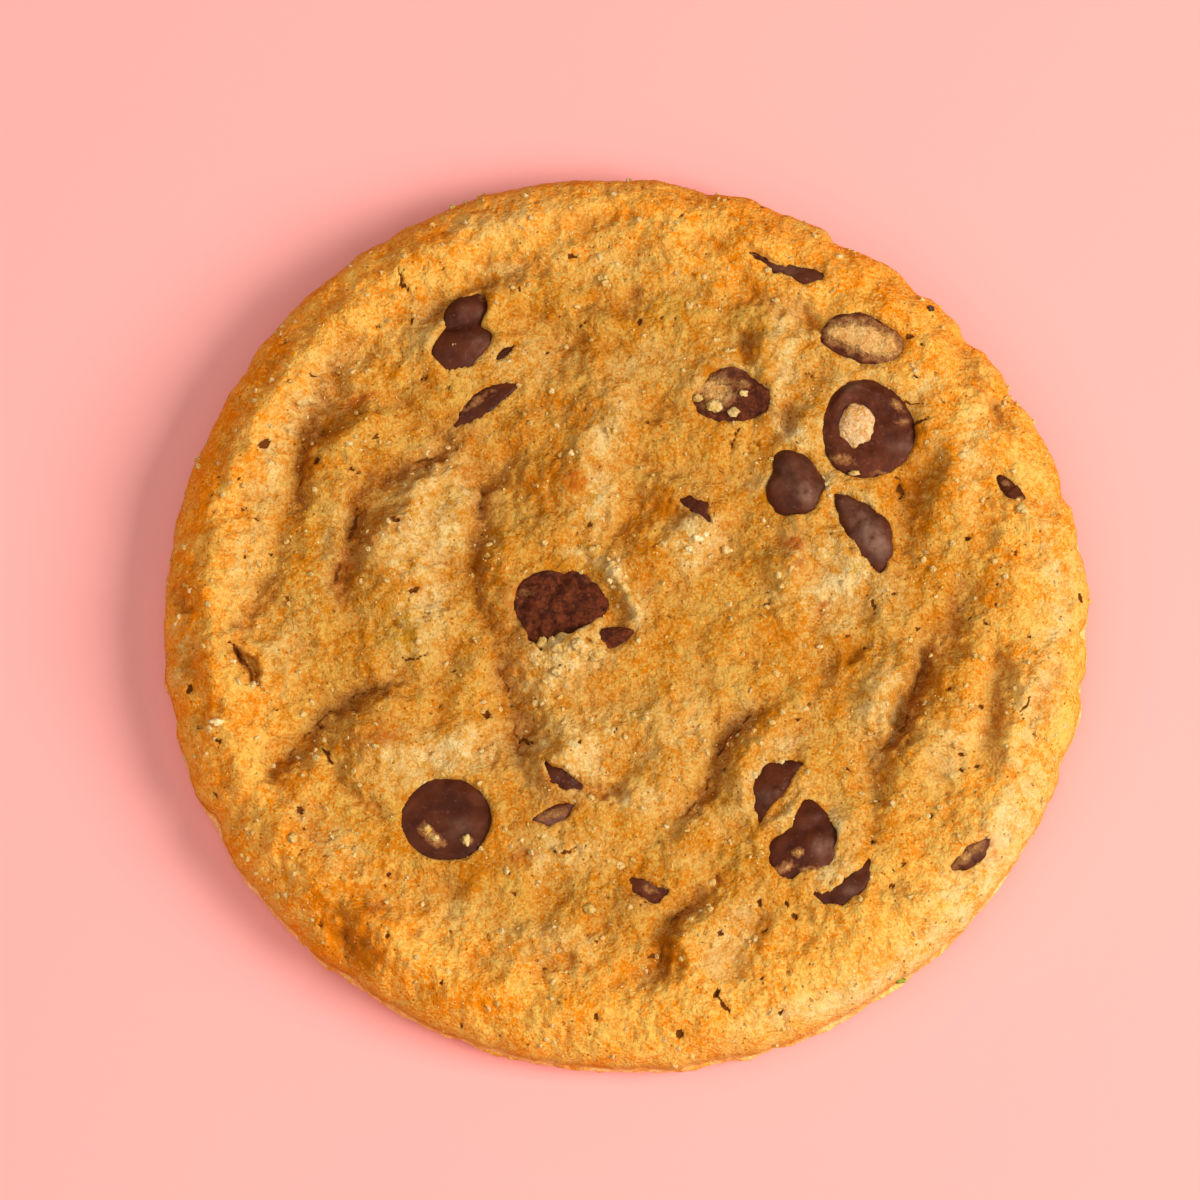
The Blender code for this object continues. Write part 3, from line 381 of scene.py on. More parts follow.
# A sliver is a long chip: places and half widths along its spine
Sliver = namedtuple("Sliver", "name spine lift crown depth")
SLIVERS = (
    Sliver("chip_drop", ((20, 11.1, 0.3), (21, 10.1, 1), (22.1, 8.8, 1.7), (23.1, 7.3, 2.2),
        (23.7, 5.9, 1.7), (24, 4.6, 0.9), (24.1, 3.7, 0.3)), 0.8, 1.2, 2.4),
    Sliver("chip_half", ((16.7, -14.9, 0.4), (15.4, -15.2, 0.9), (14.1, -16.1, 1.6), (13.2, -17.4, 1.5),
        (12.8, -18.7, 0.9), (12.7, -20.2, 0.3)), 0.3, 0.8, 2.6),
    Sliver("chip_crescent", ((17.6, -27.1, 0.2), (18.7, -27.6, 0.6), (20.2, -27.5, 0.9), (21.5, -26.5, 1),
        (22.5, -25.3, 0.8), (22.9, -24.1, 0.3)), 0.2, 0.6, 1.8),
    Sliver("chip_wedge_back", ((-10.1, 22, 0.3), (-11.2, 21.6, 0.7), (-12.4, 20.9, 1.1), (-13.7, 19.9, 1.2),
        (-14.9, 18.9, 0.9), (-15.9, 18, 0.4)), 0.1, 0.6, 1.6),
    Sliver("chip_shard_back", ((-10.5, 25.6, 0.3), (-11.2, 25.1, 0.6), (-12.1, 24.5, 0.3)), 0.2, 0.5, 1.2),
    Sliver("chip_sliver_back", ((11.5, 35.2, 0.2), (13, 34.3, 0.4), (14.5, 33.4, 0.5), (16.1, 32.9, 0.7),
        (17.5, 32.5, 0.9), (18.7, 32.4, 0.5)), 0.1, 0.5, 1.4),
    Sliver("chip_fleck_middle", ((5.3, 10.6, 0.2), (6.3, 10.4, 0.7), (7.2, 9.7, 0.9), (8, 8.6, 0.4)), 0.2,
        0.6, 1.6),
    Sliver("chip_fleck_right", ((35.7, 12.8, 0.3), (36.4, 12, 0.6), (37.1, 11.2, 0.7), (38.1, 10.2, 0.2)),
        0.2, 0.6, 1.3),
    Sliver("chip_nub", ((-2.2, -2.9, 0.4), (-1.4, -2.9, 1.1), (-0.6, -2.8, 1.1), (0.4, -2.3, 0.5)), 0.6,
        0.9, 1.6),
    Sliver("chip_wedge_front", ((-7.4, -15, 0.3), (-6.7, -15.9, 0.8), (-5.5, -16.6, 0.9), (-4.2, -17, 0.4)),
        0.1, 0.5, 1.6),
    Sliver("chip_shard_front", ((-8.4, -20.2, 0.3), (-7.2, -20, 0.7), (-6.1, -19.5, 0.8),
        (-4.7, -18.8, 0.3)), 0.2, 0.5, 1.4),
    Sliver("chip_pit_front", ((0.8, -25.9, 0.3), (1.6, -26.6, 1), (2.7, -27.1, 1.1), (4, -26.9, 0.4)), 0.1,
        0.6, 1.8),
    Sliver("chip_veiled_right", ((31, -24.6, 0.3), (31.8, -24, 0.8), (33, -23.1, 0.9), (34.2, -21.9, 0.3)),
        0.2, 0.6, 1.4),
)

PEBBLE_POWER = 3.0  # how square a pebble's shoulder is: 2 is round
LEAN_REACH = 0.7  # share of a pebble's radius over which the dough's slope is read
CHIPS = (*PEBBLES, *SLIVERS)


def top_height(x, y):
    """Height of the plain dough at places given as arrays."""
    radii, heights, keeps = shoulder(np.linspace(0.0, 1.0, PROFILE_STEPS))
    place = np.hypot(x, y) / outline_radius(np.arctan2(y, x))
    return np.interp(place, radii, heights) + np.interp(place, radii, keeps) * relief(x, y)


def radius_at(radii, heading):
    """Smooth closed curve through evenly spaced radii."""
    values = np.array(radii)
    place = np.mod(heading, 2 * math.pi) / (2 * math.pi) * len(values)
    start = np.floor(place).astype(int)
    t = place - start
    a, b, c, d = (values[(start + step) % len(values)] for step in (-1, 0, 1, 2))
    return 0.5 * (2 * b + (c - a) * t + (2 * a - 5 * b + 4 * c - d) * t ** 2
                  + (3 * b - a - 3 * c + d) * t ** 3)


def tilted_plane(x, y, reach):
    """The dough's mean height near a place and its slopes, so that a chip leans with the dough."""
    places_x = np.array([x, x + reach, x - reach, x, x])
    places_y = np.array([y, y, y, y + reach, y - reach])
    heights = top_height(places_x, places_y)
    slope_x = (heights[1] - heights[2]) / (2 * reach)
    slope_y = (heights[3] - heights[4]) / (2 * reach)
    return heights.mean(), slope_x, slope_y


def inside_pebble(x, y, chip):
    """How far inside a round chip's outline each place lies, in millimetres."""
    across, along = x - chip.x, y - chip.y
    return radius_at(chip.radii, np.arctan2(along, across)) - np.hypot(across, along)


def inside_sliver(x, y, chip):
    inside = np.full_like(x, -np.inf)
    for (ax, ay, a_half), (bx, by, b_half) in zip(chip.spine, chip.spine[1:]):
        dx, dy = bx - ax, by - ay
        t = np.clip(((x - ax) * dx + (y - ay) * dy) / (dx * dx + dy * dy), 0.0, 1.0)
        half = a_half + (b_half - a_half) * t
        inside = np.maximum(inside, half - np.hypot(x - ax - t * dx, y - ay - t * dy))
    return inside


def chip_plane(x, y, chip):
    """Height of the chip's cap, before it curves down at its edge."""
    if isinstance(chip, Pebble):
        level, slope_x, slope_y = tilted_plane(chip.x, chip.y, LEAN_REACH * np.mean(chip.radii))
        return level + slope_x * (x - chip.x) + slope_y * (y - chip.y) + chip.lift
    spine = np.array(chip.spine)
    nearest = np.argmin(np.hypot(x[..., None] - spine[:, 0], y[..., None] - spine[:, 1]), axis=-1)
    return top_height(spine[:, 0], spine[:, 1])[nearest] + chip.lift


def inside_chip(x, y, chip):
    return inside_pebble(x, y, chip) if isinstance(chip, Pebble) else inside_sliver(x, y, chip)


print("chips:", len(PEBBLES), "round,", len(SLIVERS), "long")

# %% [markdown]
# Close up, the crust is sandy: lumps of crumb about a millimetre across, low ledges where the crust tore,
# pores where steam came out, and short cracks where the crust set before the dough under it stopped moving.
# Lumps and ledges come from noise. The pores and cracks that the eye notices are placed one by one, and a
# seeded scatter adds the small ones. Noise also bends every pore and crack: none is round or straight.

# %% Where the crumb, the pores and the cracks are
# Lumps and crumbs are rows of length, height and the place where the noise is read
LUMPS = ((4.4, 0.05, 1.0), (2.1, 0.07, 2.0), (1.05, 0.07, 3.0), (0.6, 0.04, 3.5))
CRUMBS = ((1.6, 0.13, 4.0), (0.85, 0.12, 4.5))
LEDGE_LENGTH, LEDGE_HEIGHT, LEDGE_SHARPNESS = 5.2, 0.42, 0.05
LEDGE_LEVELS = (-0.16, 0.08, 0.26)  # where on the noise each step of the ledges lies
BEND_LENGTH, BEND_REACH = 0.8, 0.22  # of the noise that bends pores and cracks
PORES = (  # place, size and depth
    (-20, 1.8, 0.36, 0.5), (-21.6, 8.3, 0.25, 0.4), (-1.7, 32.1, 0.2, 0.3), (-5, 34.6, 0.3, 0.45),
    (1.5, 28, 0.22, 0.35), (-10, 31.2, 0.18, 0.3), (-4, 27.7, 0.18, 0.3), (-7.2, 25.2, 0.18, 0.3),
    (-19.1, 22.6, 0.2, 0.3), (-20.4, 28.3, 0.2, 0.3), (-21, 31.5, 0.25, 0.35), (-30, 22.8, 0.16, 0.35),
    (-29.6, 22.9, 0.16, 0.3), (27.7, 22.6, 0.28, 0.4), (30.5, 20.1, 0.18, 0.3), (27.2, 26.5, 0.2, 0.3),
    (28.4, 25.7, 0.2, 0.3), (-3.3, 8.1, 0.2, 0.3), (-29.3, 14.5, 0.3, 0.4), (-23.6, 16.7, 0.22, 0.3),
    (-25.9, 13.5, 0.22, 0.3), (-38.5, 12.8, 0.15, 0.3), (-36.6, 12.5, 0.18, 0.3), (-39.1, 10.9, 0.15, 0.3),
    (-36.1, 9.8, 0.18, 0.3), (-34.9, 8.9, 0.18, 0.3), (-34.1, 16, 0.35, 0.3), (-35.9, 5, 0.2, 0.3),
    (-33.5, 5.4, 0.25, 0.35), (32.4, 7, 0.35, 0.45), (35.4, 2.4, 0.22, 0.3), (35.1, 0.4, 0.2, 0.3),
    (34.2, -1.3, 0.3, 0.4), (32.7, -0.7, 0.2, 0.3), (43.2, 1.5, 0.3, 0.4), (25.5, 1.5, 0.22, 0.3),
    (27.8, -1.6, 0.2, 0.3), (22.9, -3.6, 0.25, 0.3), (-30.4, -19.2, 0.2, 0.35), (-31.2, -20.2, 0.2, 0.3),
    (-30.1, -23.1, 0.2, 0.35), (-30, -21.1, 0.18, 0.3), (-32.8, -9.6, 0.2, 0.3),
    (-38.2, -12.7, 0.2, 0.3), (-41.1, -7.4, 0.4, 0.3), (-13, -9.9, 0.45, 0.5), (-4.2, -13, 0.2, 0.3),
    (-1, -11.6, 0.2, 0.3), (-5.9, -5.5, 0.18, 0.3), (16.3, -10.5, 0.2, 0.3), (21, -15.2, 0.22, 0.3),
    (23.7, -18.3, 0.22, 0.3), (23.4, -22.4, 0.22, 0.3), (15.6, -25.3, 0.3, 0.5), (15.2, -28.1, 0.25, 0.4),
    (16, -29.4, 0.25, 0.4), (33.6, -9.3, 0.25, 0.35), (31.7, -14, 0.25, 0.3), (33.1, -15, 0.22, 0.3),
    (31.9, -15.6, 0.25, 0.35), (28.8, -19.7, 0.25, 0.3), (-22.1, -25.3, 0.22, 0.3),
    (-22.1, -31.5, 0.2, 0.3), (-17, -35.7, 0.25, 0.35), (-10.9, -25.3, 0.22, 0.3),
    (8.6, -36.7, 0.3, 0.5), (5.2, -40.4, 0.4, 0.35), (-2.7, -31.8, 0.25, 0.3), (2.6, -33, 0.22, 0.3),
    (9, -31.1, 0.22, 0.3), (12.7, -28.1, 0.25, 0.35), (13, -30.7, 0.22, 0.3), (12.8, -35.3, 0.22, 0.3),
    (-2.5, -39, 0.22, 0.3), (14.6, -38.4, 0.22, 0.3), (25, -26.4, 0.25, 0.3),
)
# How dark the pores are painted: partly brown crust, partly painted shade in the hole
PORE_DARKNESS = 0.9
PORE_REACH = 1.25  # how far out a pore's rim lies, in sizes
SMALL_PORES = 420
SMALL_PORE_DEPTH = 1.1  # in sizes
SMALL_PORE_AREA = 0.95  # share of the top's area that they may lie in
SMALL_PORE_SIZES = (0.10, 0.26)
SMALL_PORE_DARKNESS = (0.30, 0.62)
SMALL_PORE_SEED = 5
PORE_RIM = 0.45  # how steep a pore's wall is, as a share of its size
FOLD_SHADE_SHIFT, FOLD_SHADE_WIDTH = 0.25, 0.85  # where the painted shade at the foot of a fold lies, and how wide it is
# The crease's darkness is painted shade along the bottom of a fold
CREASE_WIDTH, CREASE_DEPTH, CREASE_DARKNESS, CREASE_PATCH = 0.17, 0.22, 0.8, 2.5
FULL_FOLD = 1.1  # depth and rise of a fold whose foot gets the full painted shade
EDGE_ROUGHNESS = 0.35  # share of the crumb's relief that is left at the edge
CRACK_TAPER = 0.6  # how much of its width a crack has lost at its ends
Crack = namedtuple("Crack", "route half_width depth")
CRACKS = (
    Crack(((-21.7, 33.2), (-21.1, 32), (-20.5, 31.2)), 0.2, 0.35),
    Crack(((27.6, 18.2), (28.6, 18.5), (29.5, 18.6)), 0.15, 0.3),
    Crack(((10.2, 15.8), (10.6, 16.7), (11, 17.6)), 0.15, 0.3),
    Crack(((-37.2, -3.5), (-36.5, -4.1), (-36, -5.1), (-35.1, -6.4), (-34.4, -7.7)), 0.28, 0.8),
    Crack(((-28.3, -13.1), (-28, -13.8), (-27.6, -14.7)), 0.3, 0.6),
    Crack(((8.6, -36.5), (9.1, -37.5), (9.9, -38.6)), 0.18, 0.35),
    Crack(((-21.4, -4.6), (-20.2, -4.8), (-18.7, -4.2)), 0.15, 0.3),
    Crack(((-6.7, -23.1), (-6, -23.4), (-4.9, -23), (-3.6, -22.9)), 0.15, 0.25),
    Crack(((-9.3, -1.5), (-8.8, -2.5), (-7.8, -4)), 0.35, 0.6),
    Crack(((-10.1, -12.4), (-9.4, -12.3), (-8.6, -12.7)), 0.3, 0.6),
    Crack(((25.8, 13.1), (26.2, 11.9), (26.3, 10.9)), 0.3, 0.6),
    Crack(((23, 1.4), (23.5, 0.7), (23.4, -0.7)), 0.15, 0.25),
    Crack(((1.3, -28.3), (2.8, -27.6), (3.6, -27.1)), 0.15, 0.3),
    Crack(((38.3, -8.3), (37.5, -9.9), (37.4, -11.2)), 0.15, 0.2),
    Crack(((24.2, 20.9), (26.6, 20.1), (29, 20.2)), 0.12, 0.15),
)
print("pores placed by eye:", len(PORES), " cracks:", len(CRACKS))

# %% [markdown]
# Each of them becomes a depth at every place of the top, and also says where the crust is painted dark:
# partly brown crust, partly painted shade in the pores, cracks and creases. Depths are easier to change than
# a carved mesh, and all of them add up to one height.

# %% The crumb, the pores and the cracks as depths
def noise_field(x, y, length, place):
    """Soft noise from about -0.5 to 0.5, with lumps about as long as length."""
    values = [noise.noise((a, b, place)) for a, b in zip(x.ravel() / length, y.ravel() / length)]
    return np.array(values).reshape(x.shape)


def crumb_field(x, y, length, place):
    """Rounded lumps with creases between them, from 0 in a crease to about 1 on a lump."""
    values = [noise.voronoi((a, b, place))[0][0] for a, b in zip(x.ravel() / length, y.ravel() / length)]
    return 1.0 - np.clip(np.array(values).reshape(x.shape), 0.0, 1.0)


def rough_field(x, y, length, place):
    """Noise with finer and finer noise on it, about -0.6 to 0.6."""
    places = zip(x.ravel() / length, y.ravel() / length)
    values = [noise.fractal((a, b, place), 0.8, 2.0, 4) for a, b in places]
    return np.array(values).reshape(x.shape)


def ledge_field(x, y):
    """Torn layers of crust, from 0 on the lowest to 1 on the highest."""
    rough = rough_field(x, y, LEDGE_LENGTH, 31.0)
    steps = [smooth_step((rough - level) / LEDGE_SHARPNESS + 0.5) for level in LEDGE_LEVELS]
    return sum(steps) / len(LEDGE_LEVELS)


def all_pores():
    draw = np.random.default_rng(SMALL_PORE_SEED)
    pores = [(*pore, PORE_DARKNESS) for pore in PORES]
    for _ in range(SMALL_PORES):
        heading = draw.uniform(-math.pi, math.pi)
        away = MEAN_RADIUS * math.sqrt(draw.uniform(0.0, SMALL_PORE_AREA))
        size = draw.uniform(*SMALL_PORE_SIZES)
        darkness = draw.uniform(*SMALL_PORE_DARKNESS)
        pores.append((away * math.cos(heading), away * math.sin(heading), size, SMALL_PORE_DEPTH * size,
                      darkness))
    return pores


def bent_places(x, y):
    return (x + BEND_REACH * 2 * noise_field(x, y, BEND_LENGTH, 33.0),
            y + BEND_REACH * 2 * noise_field(x, y, BEND_LENGTH, 34.0))


def pore_depth(x, y):
    """How deep the pores go, and how far inside a pore each place is, from 0 to 1."""
    depth, inside = np.zeros_like(x), np.zeros_like(x)
    for spot_x, spot_y, size, deep, darkness in all_pores():
        near = (np.abs(x - spot_x) < 2 * size) & (np.abs(y - spot_y) < 2 * size)
        away = np.hypot(x[near] - spot_x, y[near] - spot_y) / size
        share = smooth_step((PORE_REACH - away) / PORE_RIM)
        depth[near] = np.maximum(depth[near], deep * share)
        inside[near] = np.maximum(inside[near], darkness * share)
    return depth, inside


def crack_depth(x, y):
    depth, inside = np.zeros_like(x), np.zeros_like(x)
    for crack in CRACKS:
        away, share = nearest_on_route(x, y, smooth_route(crack.route))
        thin = crack.half_width * (1.0 - CRACK_TAPER * np.abs(2 * share - 1.0))
        line = np.exp(-(away / thin) ** 2)
        depth = np.maximum(depth, crack.depth * line)
        inside = np.maximum(inside, line)
    return depth, inside


def fold_shade_and_crease(x, y):
    """Painted shade at the foot of each fold, from 0 to 1, and the thin crease along it."""
    fold_shade, crease = np.zeros_like(x), np.zeros_like(x)
    for fold in FOLDS:
        away, share = nearest_on_route(x, y, smooth_route(fold.route))
        strength = min(1.0, (fold.depth + fold.rise) / FULL_FOLD)
        fade = strength * smooth_step(np.minimum(share, 1.0 - share) / FOLD_TAPER)
        fold_shade = np.maximum(fold_shade, fade * np.exp(-((away - FOLD_SHADE_SHIFT) / FOLD_SHADE_WIDTH) ** 2))
        crease = np.maximum(crease, fade * np.exp(-(away / CREASE_WIDTH) ** 2))
    return fold_shade, crease


print("pores in all:", len(all_pores()))

# %% [markdown]
# Where a chip sits, the dough stops at a ragged lip and the floor of its hole drops under the chip. The lip
# covers more of some chips than of others, and small patches of dough reach further over three of them. The
# walls of the relief are sharpened here too, because a set crust tears.

# %% The dough round the chips
LIP_RAG = ((1.6, 0.42), (0.7, 0.16))  # length and reach of the lip's raggedness
LIP_NEAR = 2.5  # how far outside a chip its lip still matters
LIP_STEEP = 0.45  # how wide the lip's wall is
LIP_SWELL, LIP_REACH, LIP_SWELL_PLACE = 0.28, 0.9, -0.4  # the dough swells where it meets a chip
HOLE_DEPTH = 0.9
CRISPNESS, CRISP_PASSES = 1.1, 60  # how far walls are sharpened, and over how many cells' blur
RELIEF_RAG, RELIEF_RAG_LENGTH = 0.5, 2.2  # how far the walls stray, and over what length
HOLLOW_GAIN = 1.25  # the hollows go a little deeper than on the solid
LIP_FORMS = ovals(  # walls of dough that stand up beside a chip
    (-4.7, -4.1, 2.7, 0.8, 0, 0.45), (-0.9, 3.4, 1.9, 0.7, -52, 0.5), (1, 0.4, 2.1, 0.7, -84, 0.5),
    (-3.4, 5.3, 2.3, 0.7, -12, 0.45), (16.6, 17, 2.5, 0.7, -25, 0.3), (20.7, 9.2, 2.9, 0.7, -55, 0.3),
)
LIP_COVER = {"chip_knobbed": 0.15, "chip_ring": 0.0, "chip_disc": 0.0, "chip_cone": 0.1, "chip_split": 0.2,
             "chip_centre": 0.1, "chip_veiled": 0.2, "chip_crumbly": 0.3, "chip_drop": 0.0, "chip_nub": 0.45}
COVER_ELSE = 0.1
# The share of the raggedness that is left round the calmer chips
LIP_CALM = {"chip_disc": 0.25, "chip_ring": 0.35, "chip_cone": 0.6, "chip_veiled": 0.6}

# Dough that covers a little more of a chip
COVERS = ovals(
    (21.3, 5.7, 1.3, 0.9, 60, 1), (22.5, 4.3, 1, 0.6, 40, 0.7), (16.1, 16, 2.1, 0.6, -15, 0.6),
    (13.7, 14.1, 0.8, 1.5, 90, 0.3), (-2.5, -3.5, 1, 0.8, 0, 0.6), (-3.6, 2.6, 2, 0.8, -22, 0.55),
    (-0.4, 0.2, 1.3, 0.8, -55, 0.6),
)


def lip_of(x, y, chip):
    """1 where the chip shows, 0 where dough covers it, and how far inside the chip each place is."""
    inside = inside_chip(x, y, chip)
    near = inside > -LIP_NEAR
    rag = np.zeros_like(x)
    for length, reach in LIP_RAG:
        rag[near] += reach * noise_field(x[near], y[near], length, 7.0)
    cover = LIP_COVER.get(chip.name, COVER_ELSE) + sum(mound_height(x, y, patch) for patch in COVERS)
    return smooth_step((inside - cover + rag * LIP_CALM.get(chip.name, 1.0)) / LIP_STEEP), inside


def crumb_relief(x, y):
    """The lumps and crumbs of the crust."""
    fine = sum(high * 2 * noise_field(x, y, length, place) for length, high, place in LUMPS)
    return fine + sum(high * (crumb_field(x, y, length, place) - 0.5) for length, high, place in CRUMBS)


def ragged_relief(x, y, bent_x, bent_y, keep):
    """The relief with ragged, sharpened walls and with deeper hollows."""
    ragged_x = bent_x + RELIEF_RAG * noise_field(x, y, RELIEF_RAG_LENGTH, 41.0)
    ragged_y = bent_y + RELIEF_RAG * noise_field(x, y, RELIEF_RAG_LENGTH, 42.0)
    shape = relief(ragged_x, ragged_y)
    form = keep * np.where(shape < 0.0, HOLLOW_GAIN * shape, shape)
    return form + CRISPNESS * keep * (form - blurred(form.reshape(TOP_CELLS + 1, -1), CRISP_PASSES).ravel())


def sink_chips(x, y, z):
    """Sinks the holes of the chips into the heights z, and says where a chip shows."""
    shown = np.zeros_like(x)
    for chip in CHIPS:
        open_part, inside = lip_of(x, y, chip)
        near = inside > -LIP_NEAR
        floor = chip_plane(x[near], y[near], chip) - chip.crown - HOLE_DEPTH
        z[near] += LIP_SWELL * np.exp(-((inside[near] - LIP_SWELL_PLACE) / LIP_REACH) ** 2)
        z[near] += open_part[near] * (np.minimum(floor, z[near]) - z[near])
        shown = np.maximum(shown, open_part)
    return shown


def crust_height(x, y, keep, height):
    """The finished top of the dough: relief, crumb, pores, cracks and the holes of the chips."""
    fine, ledge = crumb_relief(x, y), ledge_field(x, y)
    bent_x, bent_y = bent_places(x, y)
    pores, in_pore = pore_depth(bent_x, bent_y)
    cracks, in_crack = crack_depth(bent_x, bent_y)
    fold_shade, crease = fold_shade_and_crease(bent_x, bent_y)
    patchy = smooth_step(3.0 * rough_field(x, y, CREASE_PATCH, 35.0) + 0.6)
    form = ragged_relief(x, y, bent_x, bent_y, keep)
    roughness = EDGE_ROUGHNESS + (1.0 - EDGE_ROUGHNESS) * keep
    dug = pores + cracks + CREASE_DEPTH * crease * patchy
    z = height + form + roughness * (fine + LEDGE_HEIGHT * (ledge - 0.5) - dug)
    z += sum(mound_height(bent_x, bent_y, mound) for mound in LIP_FORMS)
    shown = sink_chips(x, y, z)
    # painted dark in pores, cracks and creases: partly brown crust, partly painted shade in these recesses
    dark = np.maximum(np.maximum(in_pore, in_crack), CREASE_DARKNESS * crease * patchy)
    return z, dict(shown=shown, fine=fine, ledge=ledge, fold_shade=fold_shade, pore=dark)


print("dough lips:", len(CHIPS))

# %% [markdown]
# A disc needs a mesh without a pole, where slivers of faces would crowd and wrinkle. So a square grid is
# carried ring by ring onto a round, and all its quads stay about alike. The dough, its underside and the caps
# of the chips are all made on such grids.

# %% Grids for round things
def square_to_disc(u, v):
    """Carries the square from -1 to 1 onto a round: share of the way out, and heading."""
    share = np.maximum(np.abs(u), np.abs(v))
    wide = np.abs(u) >= np.abs(v)
    part = np.where(wide, v / np.where(wide & (u != 0), u, 1.0), u / np.where(~wide & (v != 0), v, 1.0))
    eighth = part * math.pi / 4
    heading = np.where(wide, eighth + np.where(u < 0, math.pi, 0.0),
                       math.pi / 2 - eighth + np.where(v < 0, math.pi, 0.0))
    return share, heading


def square_grid(cells):
    """Corners of a square grid, its quads, and its rim's corners in order round it."""
    side = np.linspace(-1.0, 1.0, cells + 1)
    u, v = np.meshgrid(side, side)
    number = np.arange((cells + 1) ** 2).reshape(cells + 1, cells + 1)
    quads = np.stack([number[:-1, :-1], number[:-1, 1:], number[1:, 1:], number[1:, :-1]], axis=-1)
    rim = np.concatenate([number[0, :-1], number[:-1, -1], number[-1, :0:-1], number[:0:-1, 0]])
    return u.ravel(), v.ravel(), quads.reshape(-1, 4), rim


def blurred(values, passes):
    """The grid's values, each averaged with its neighbours again and again."""
    for _ in range(passes):
        for axis in (0, 1):
            padded = np.concatenate([values.take([0], axis), values, values.take([-1], axis)], axis)
            count = values.shape[axis]
            before, after = padded.take(range(count), axis), padded.take(range(2, count + 2), axis)
            values = (before + 2 * values + after) / 4
    return values


def ring_faces(ring, new):
    """Quads between two rings that have as many corners."""
    return np.stack([ring, new, np.roll(new, -1), np.roll(ring, -1)], axis=1).tolist()


print("quads of a small grid:", len(square_grid(4)[2]))

# %% [markdown]
# The top's quads are about 0.2 mm across, as fine as the crumb needs. Rings go down the side from its edge,
# and a coarser grid closes the underside, which lay flat on the baking tray.

# %% The sheet of dough
TOP_CELLS = 396
SOLE_CELLS = 99  # a quarter of the top's, so that their edges can be joined
EDGE_RAG = ((3.5, 0.20), (1.3, 0.07), (0.7, 0.03))  # length, reach
RAG_START, RAG_FADE = 0.8, 0.2  # where on the way out the ragged edge begins to show
WIDE_PASSES = 90  # of the blur that tells broad heights from broad hollows, which are painted darker as painted shade
# Rings down the side: how far in from the widest place, height, and how much of the edge's raggedness is left
SIDE_RINGS = ((0.02, 3.2, 1.0), (0.03, 2.95, 0.85), (0.03, 2.75, 0.7), (0.01, 2.5, 0.58), (0.0, 2.3, 0.45),
              (0.02, 2.07, 0.35), (0.05, 1.85, 0.25), (0.1, 1.62, 0.17), (0.15, 1.4, 0.1), (0.22, 1.17, 0.05),
              (0.3, 0.95, 0.0), (0.4, 0.77, 0.0), (0.5, 0.6, 0.0), (0.64, 0.45, 0.0), (0.8, 0.3, 0.0),
              (0.95, 0.19, 0.0), (1.1, 0.1, 0.0), (1.5, 0.0, 0.0))
SIDE_LUMPS = ((3.0, 0.16, 9.0), (1.2, 0.12, 9.3), (0.55, 0.07, 9.6))  # length, reach, noise place
LUMPS_ABOVE = 0.2  # the lowest part of the side touched the tray and is smooth
SOLE_STEP, SOLE_DIMPLE, DIMPLE_LENGTH = 0.2, 0.12, 5.0


def edge_rag(heading):
    """The crumbly edge: how far it stands out or in along each heading."""
    x, y = MEAN_RADIUS * np.cos(heading), MEAN_RADIUS * np.sin(heading)
    return sum(2 * high * noise_field(x, y, length, 21.0) for length, high in EDGE_RAG)


def dough_top():
    """Corners and quads of the top, its rim, and the values its colours need."""
    u, v, quads, rim = square_grid(TOP_CELLS)
    share, heading = square_to_disc(u, v)
    part, height, keep = shoulder(share)
    rag = edge_rag(heading) * smooth_step((share - RAG_START) / RAG_FADE)
    radius = part * (outline_radius(heading) + rag)
    x, y = radius * np.cos(heading), radius * np.sin(heading)
    z, painted = crust_height(x, y, keep, height)
    # How far each place stands over its blurred surroundings: broad hollows are painted darker by it, as
    # painted shade
    painted["wide"] = z - blurred(z.reshape(TOP_CELLS + 1, -1), WIDE_PASSES).ravel()
    return np.stack([x, y, z], axis=1), quads.tolist(), rim, painted


def side_ring(turn, inset, level, nicked):
    reach = outline_radius(turn, nicked) + nicked * edge_rag(turn) - inset
    x, y = reach * np.cos(turn), reach * np.sin(turn)
    if level > LUMPS_ABOVE:
        push = sum(high * 2 * noise_field(x + level, y + level * 2.0, length, place)
                   for length, high, place in SIDE_LUMPS)
        x, y = x + push * np.cos(turn), y + push * np.sin(turn)
    return np.stack([x, y, np.full_like(x, level)], axis=1)


def dough_sole():
    """The underside: flat where it lay on the tray, with shallow dimples where steam was caught."""
    u, v, quads, rim = square_grid(SOLE_CELLS)
    share, heading = square_to_disc(u, v)
    reach = share * (outline_radius(heading, 0.0) - SIDE_RINGS[-1][0] - SOLE_STEP)
    x, y = reach * np.cos(heading), reach * np.sin(heading)
    caught = smooth_step(1.3 * (noise_field(x, y, DIMPLE_LENGTH, 12.0) + 0.1))
    dimple = SOLE_DIMPLE * caught * smooth_step((1 - share) / 0.1)
    return np.stack([x, y, dimple], axis=1), quads[:, ::-1], rim


def joined_rings(ring, sole_ring):
    """Faces between the side's last ring and the underside's rim, which has fewer corners."""
    faces = []
    ratio, count = TOP_CELLS // SOLE_CELLS, len(ring)
    for index in range(len(sole_ring)):
        here, after = sole_ring[index], sole_ring[(index + 1) % len(sole_ring)]
        outer = [ring[(ratio * index + step) % count] for step in range(ratio + 1)]
        faces += [[outer[step], here, outer[step + 1]] for step in range(ratio - 1)]
        faces.append([outer[ratio - 1], here, after, outer[ratio]])
    return faces


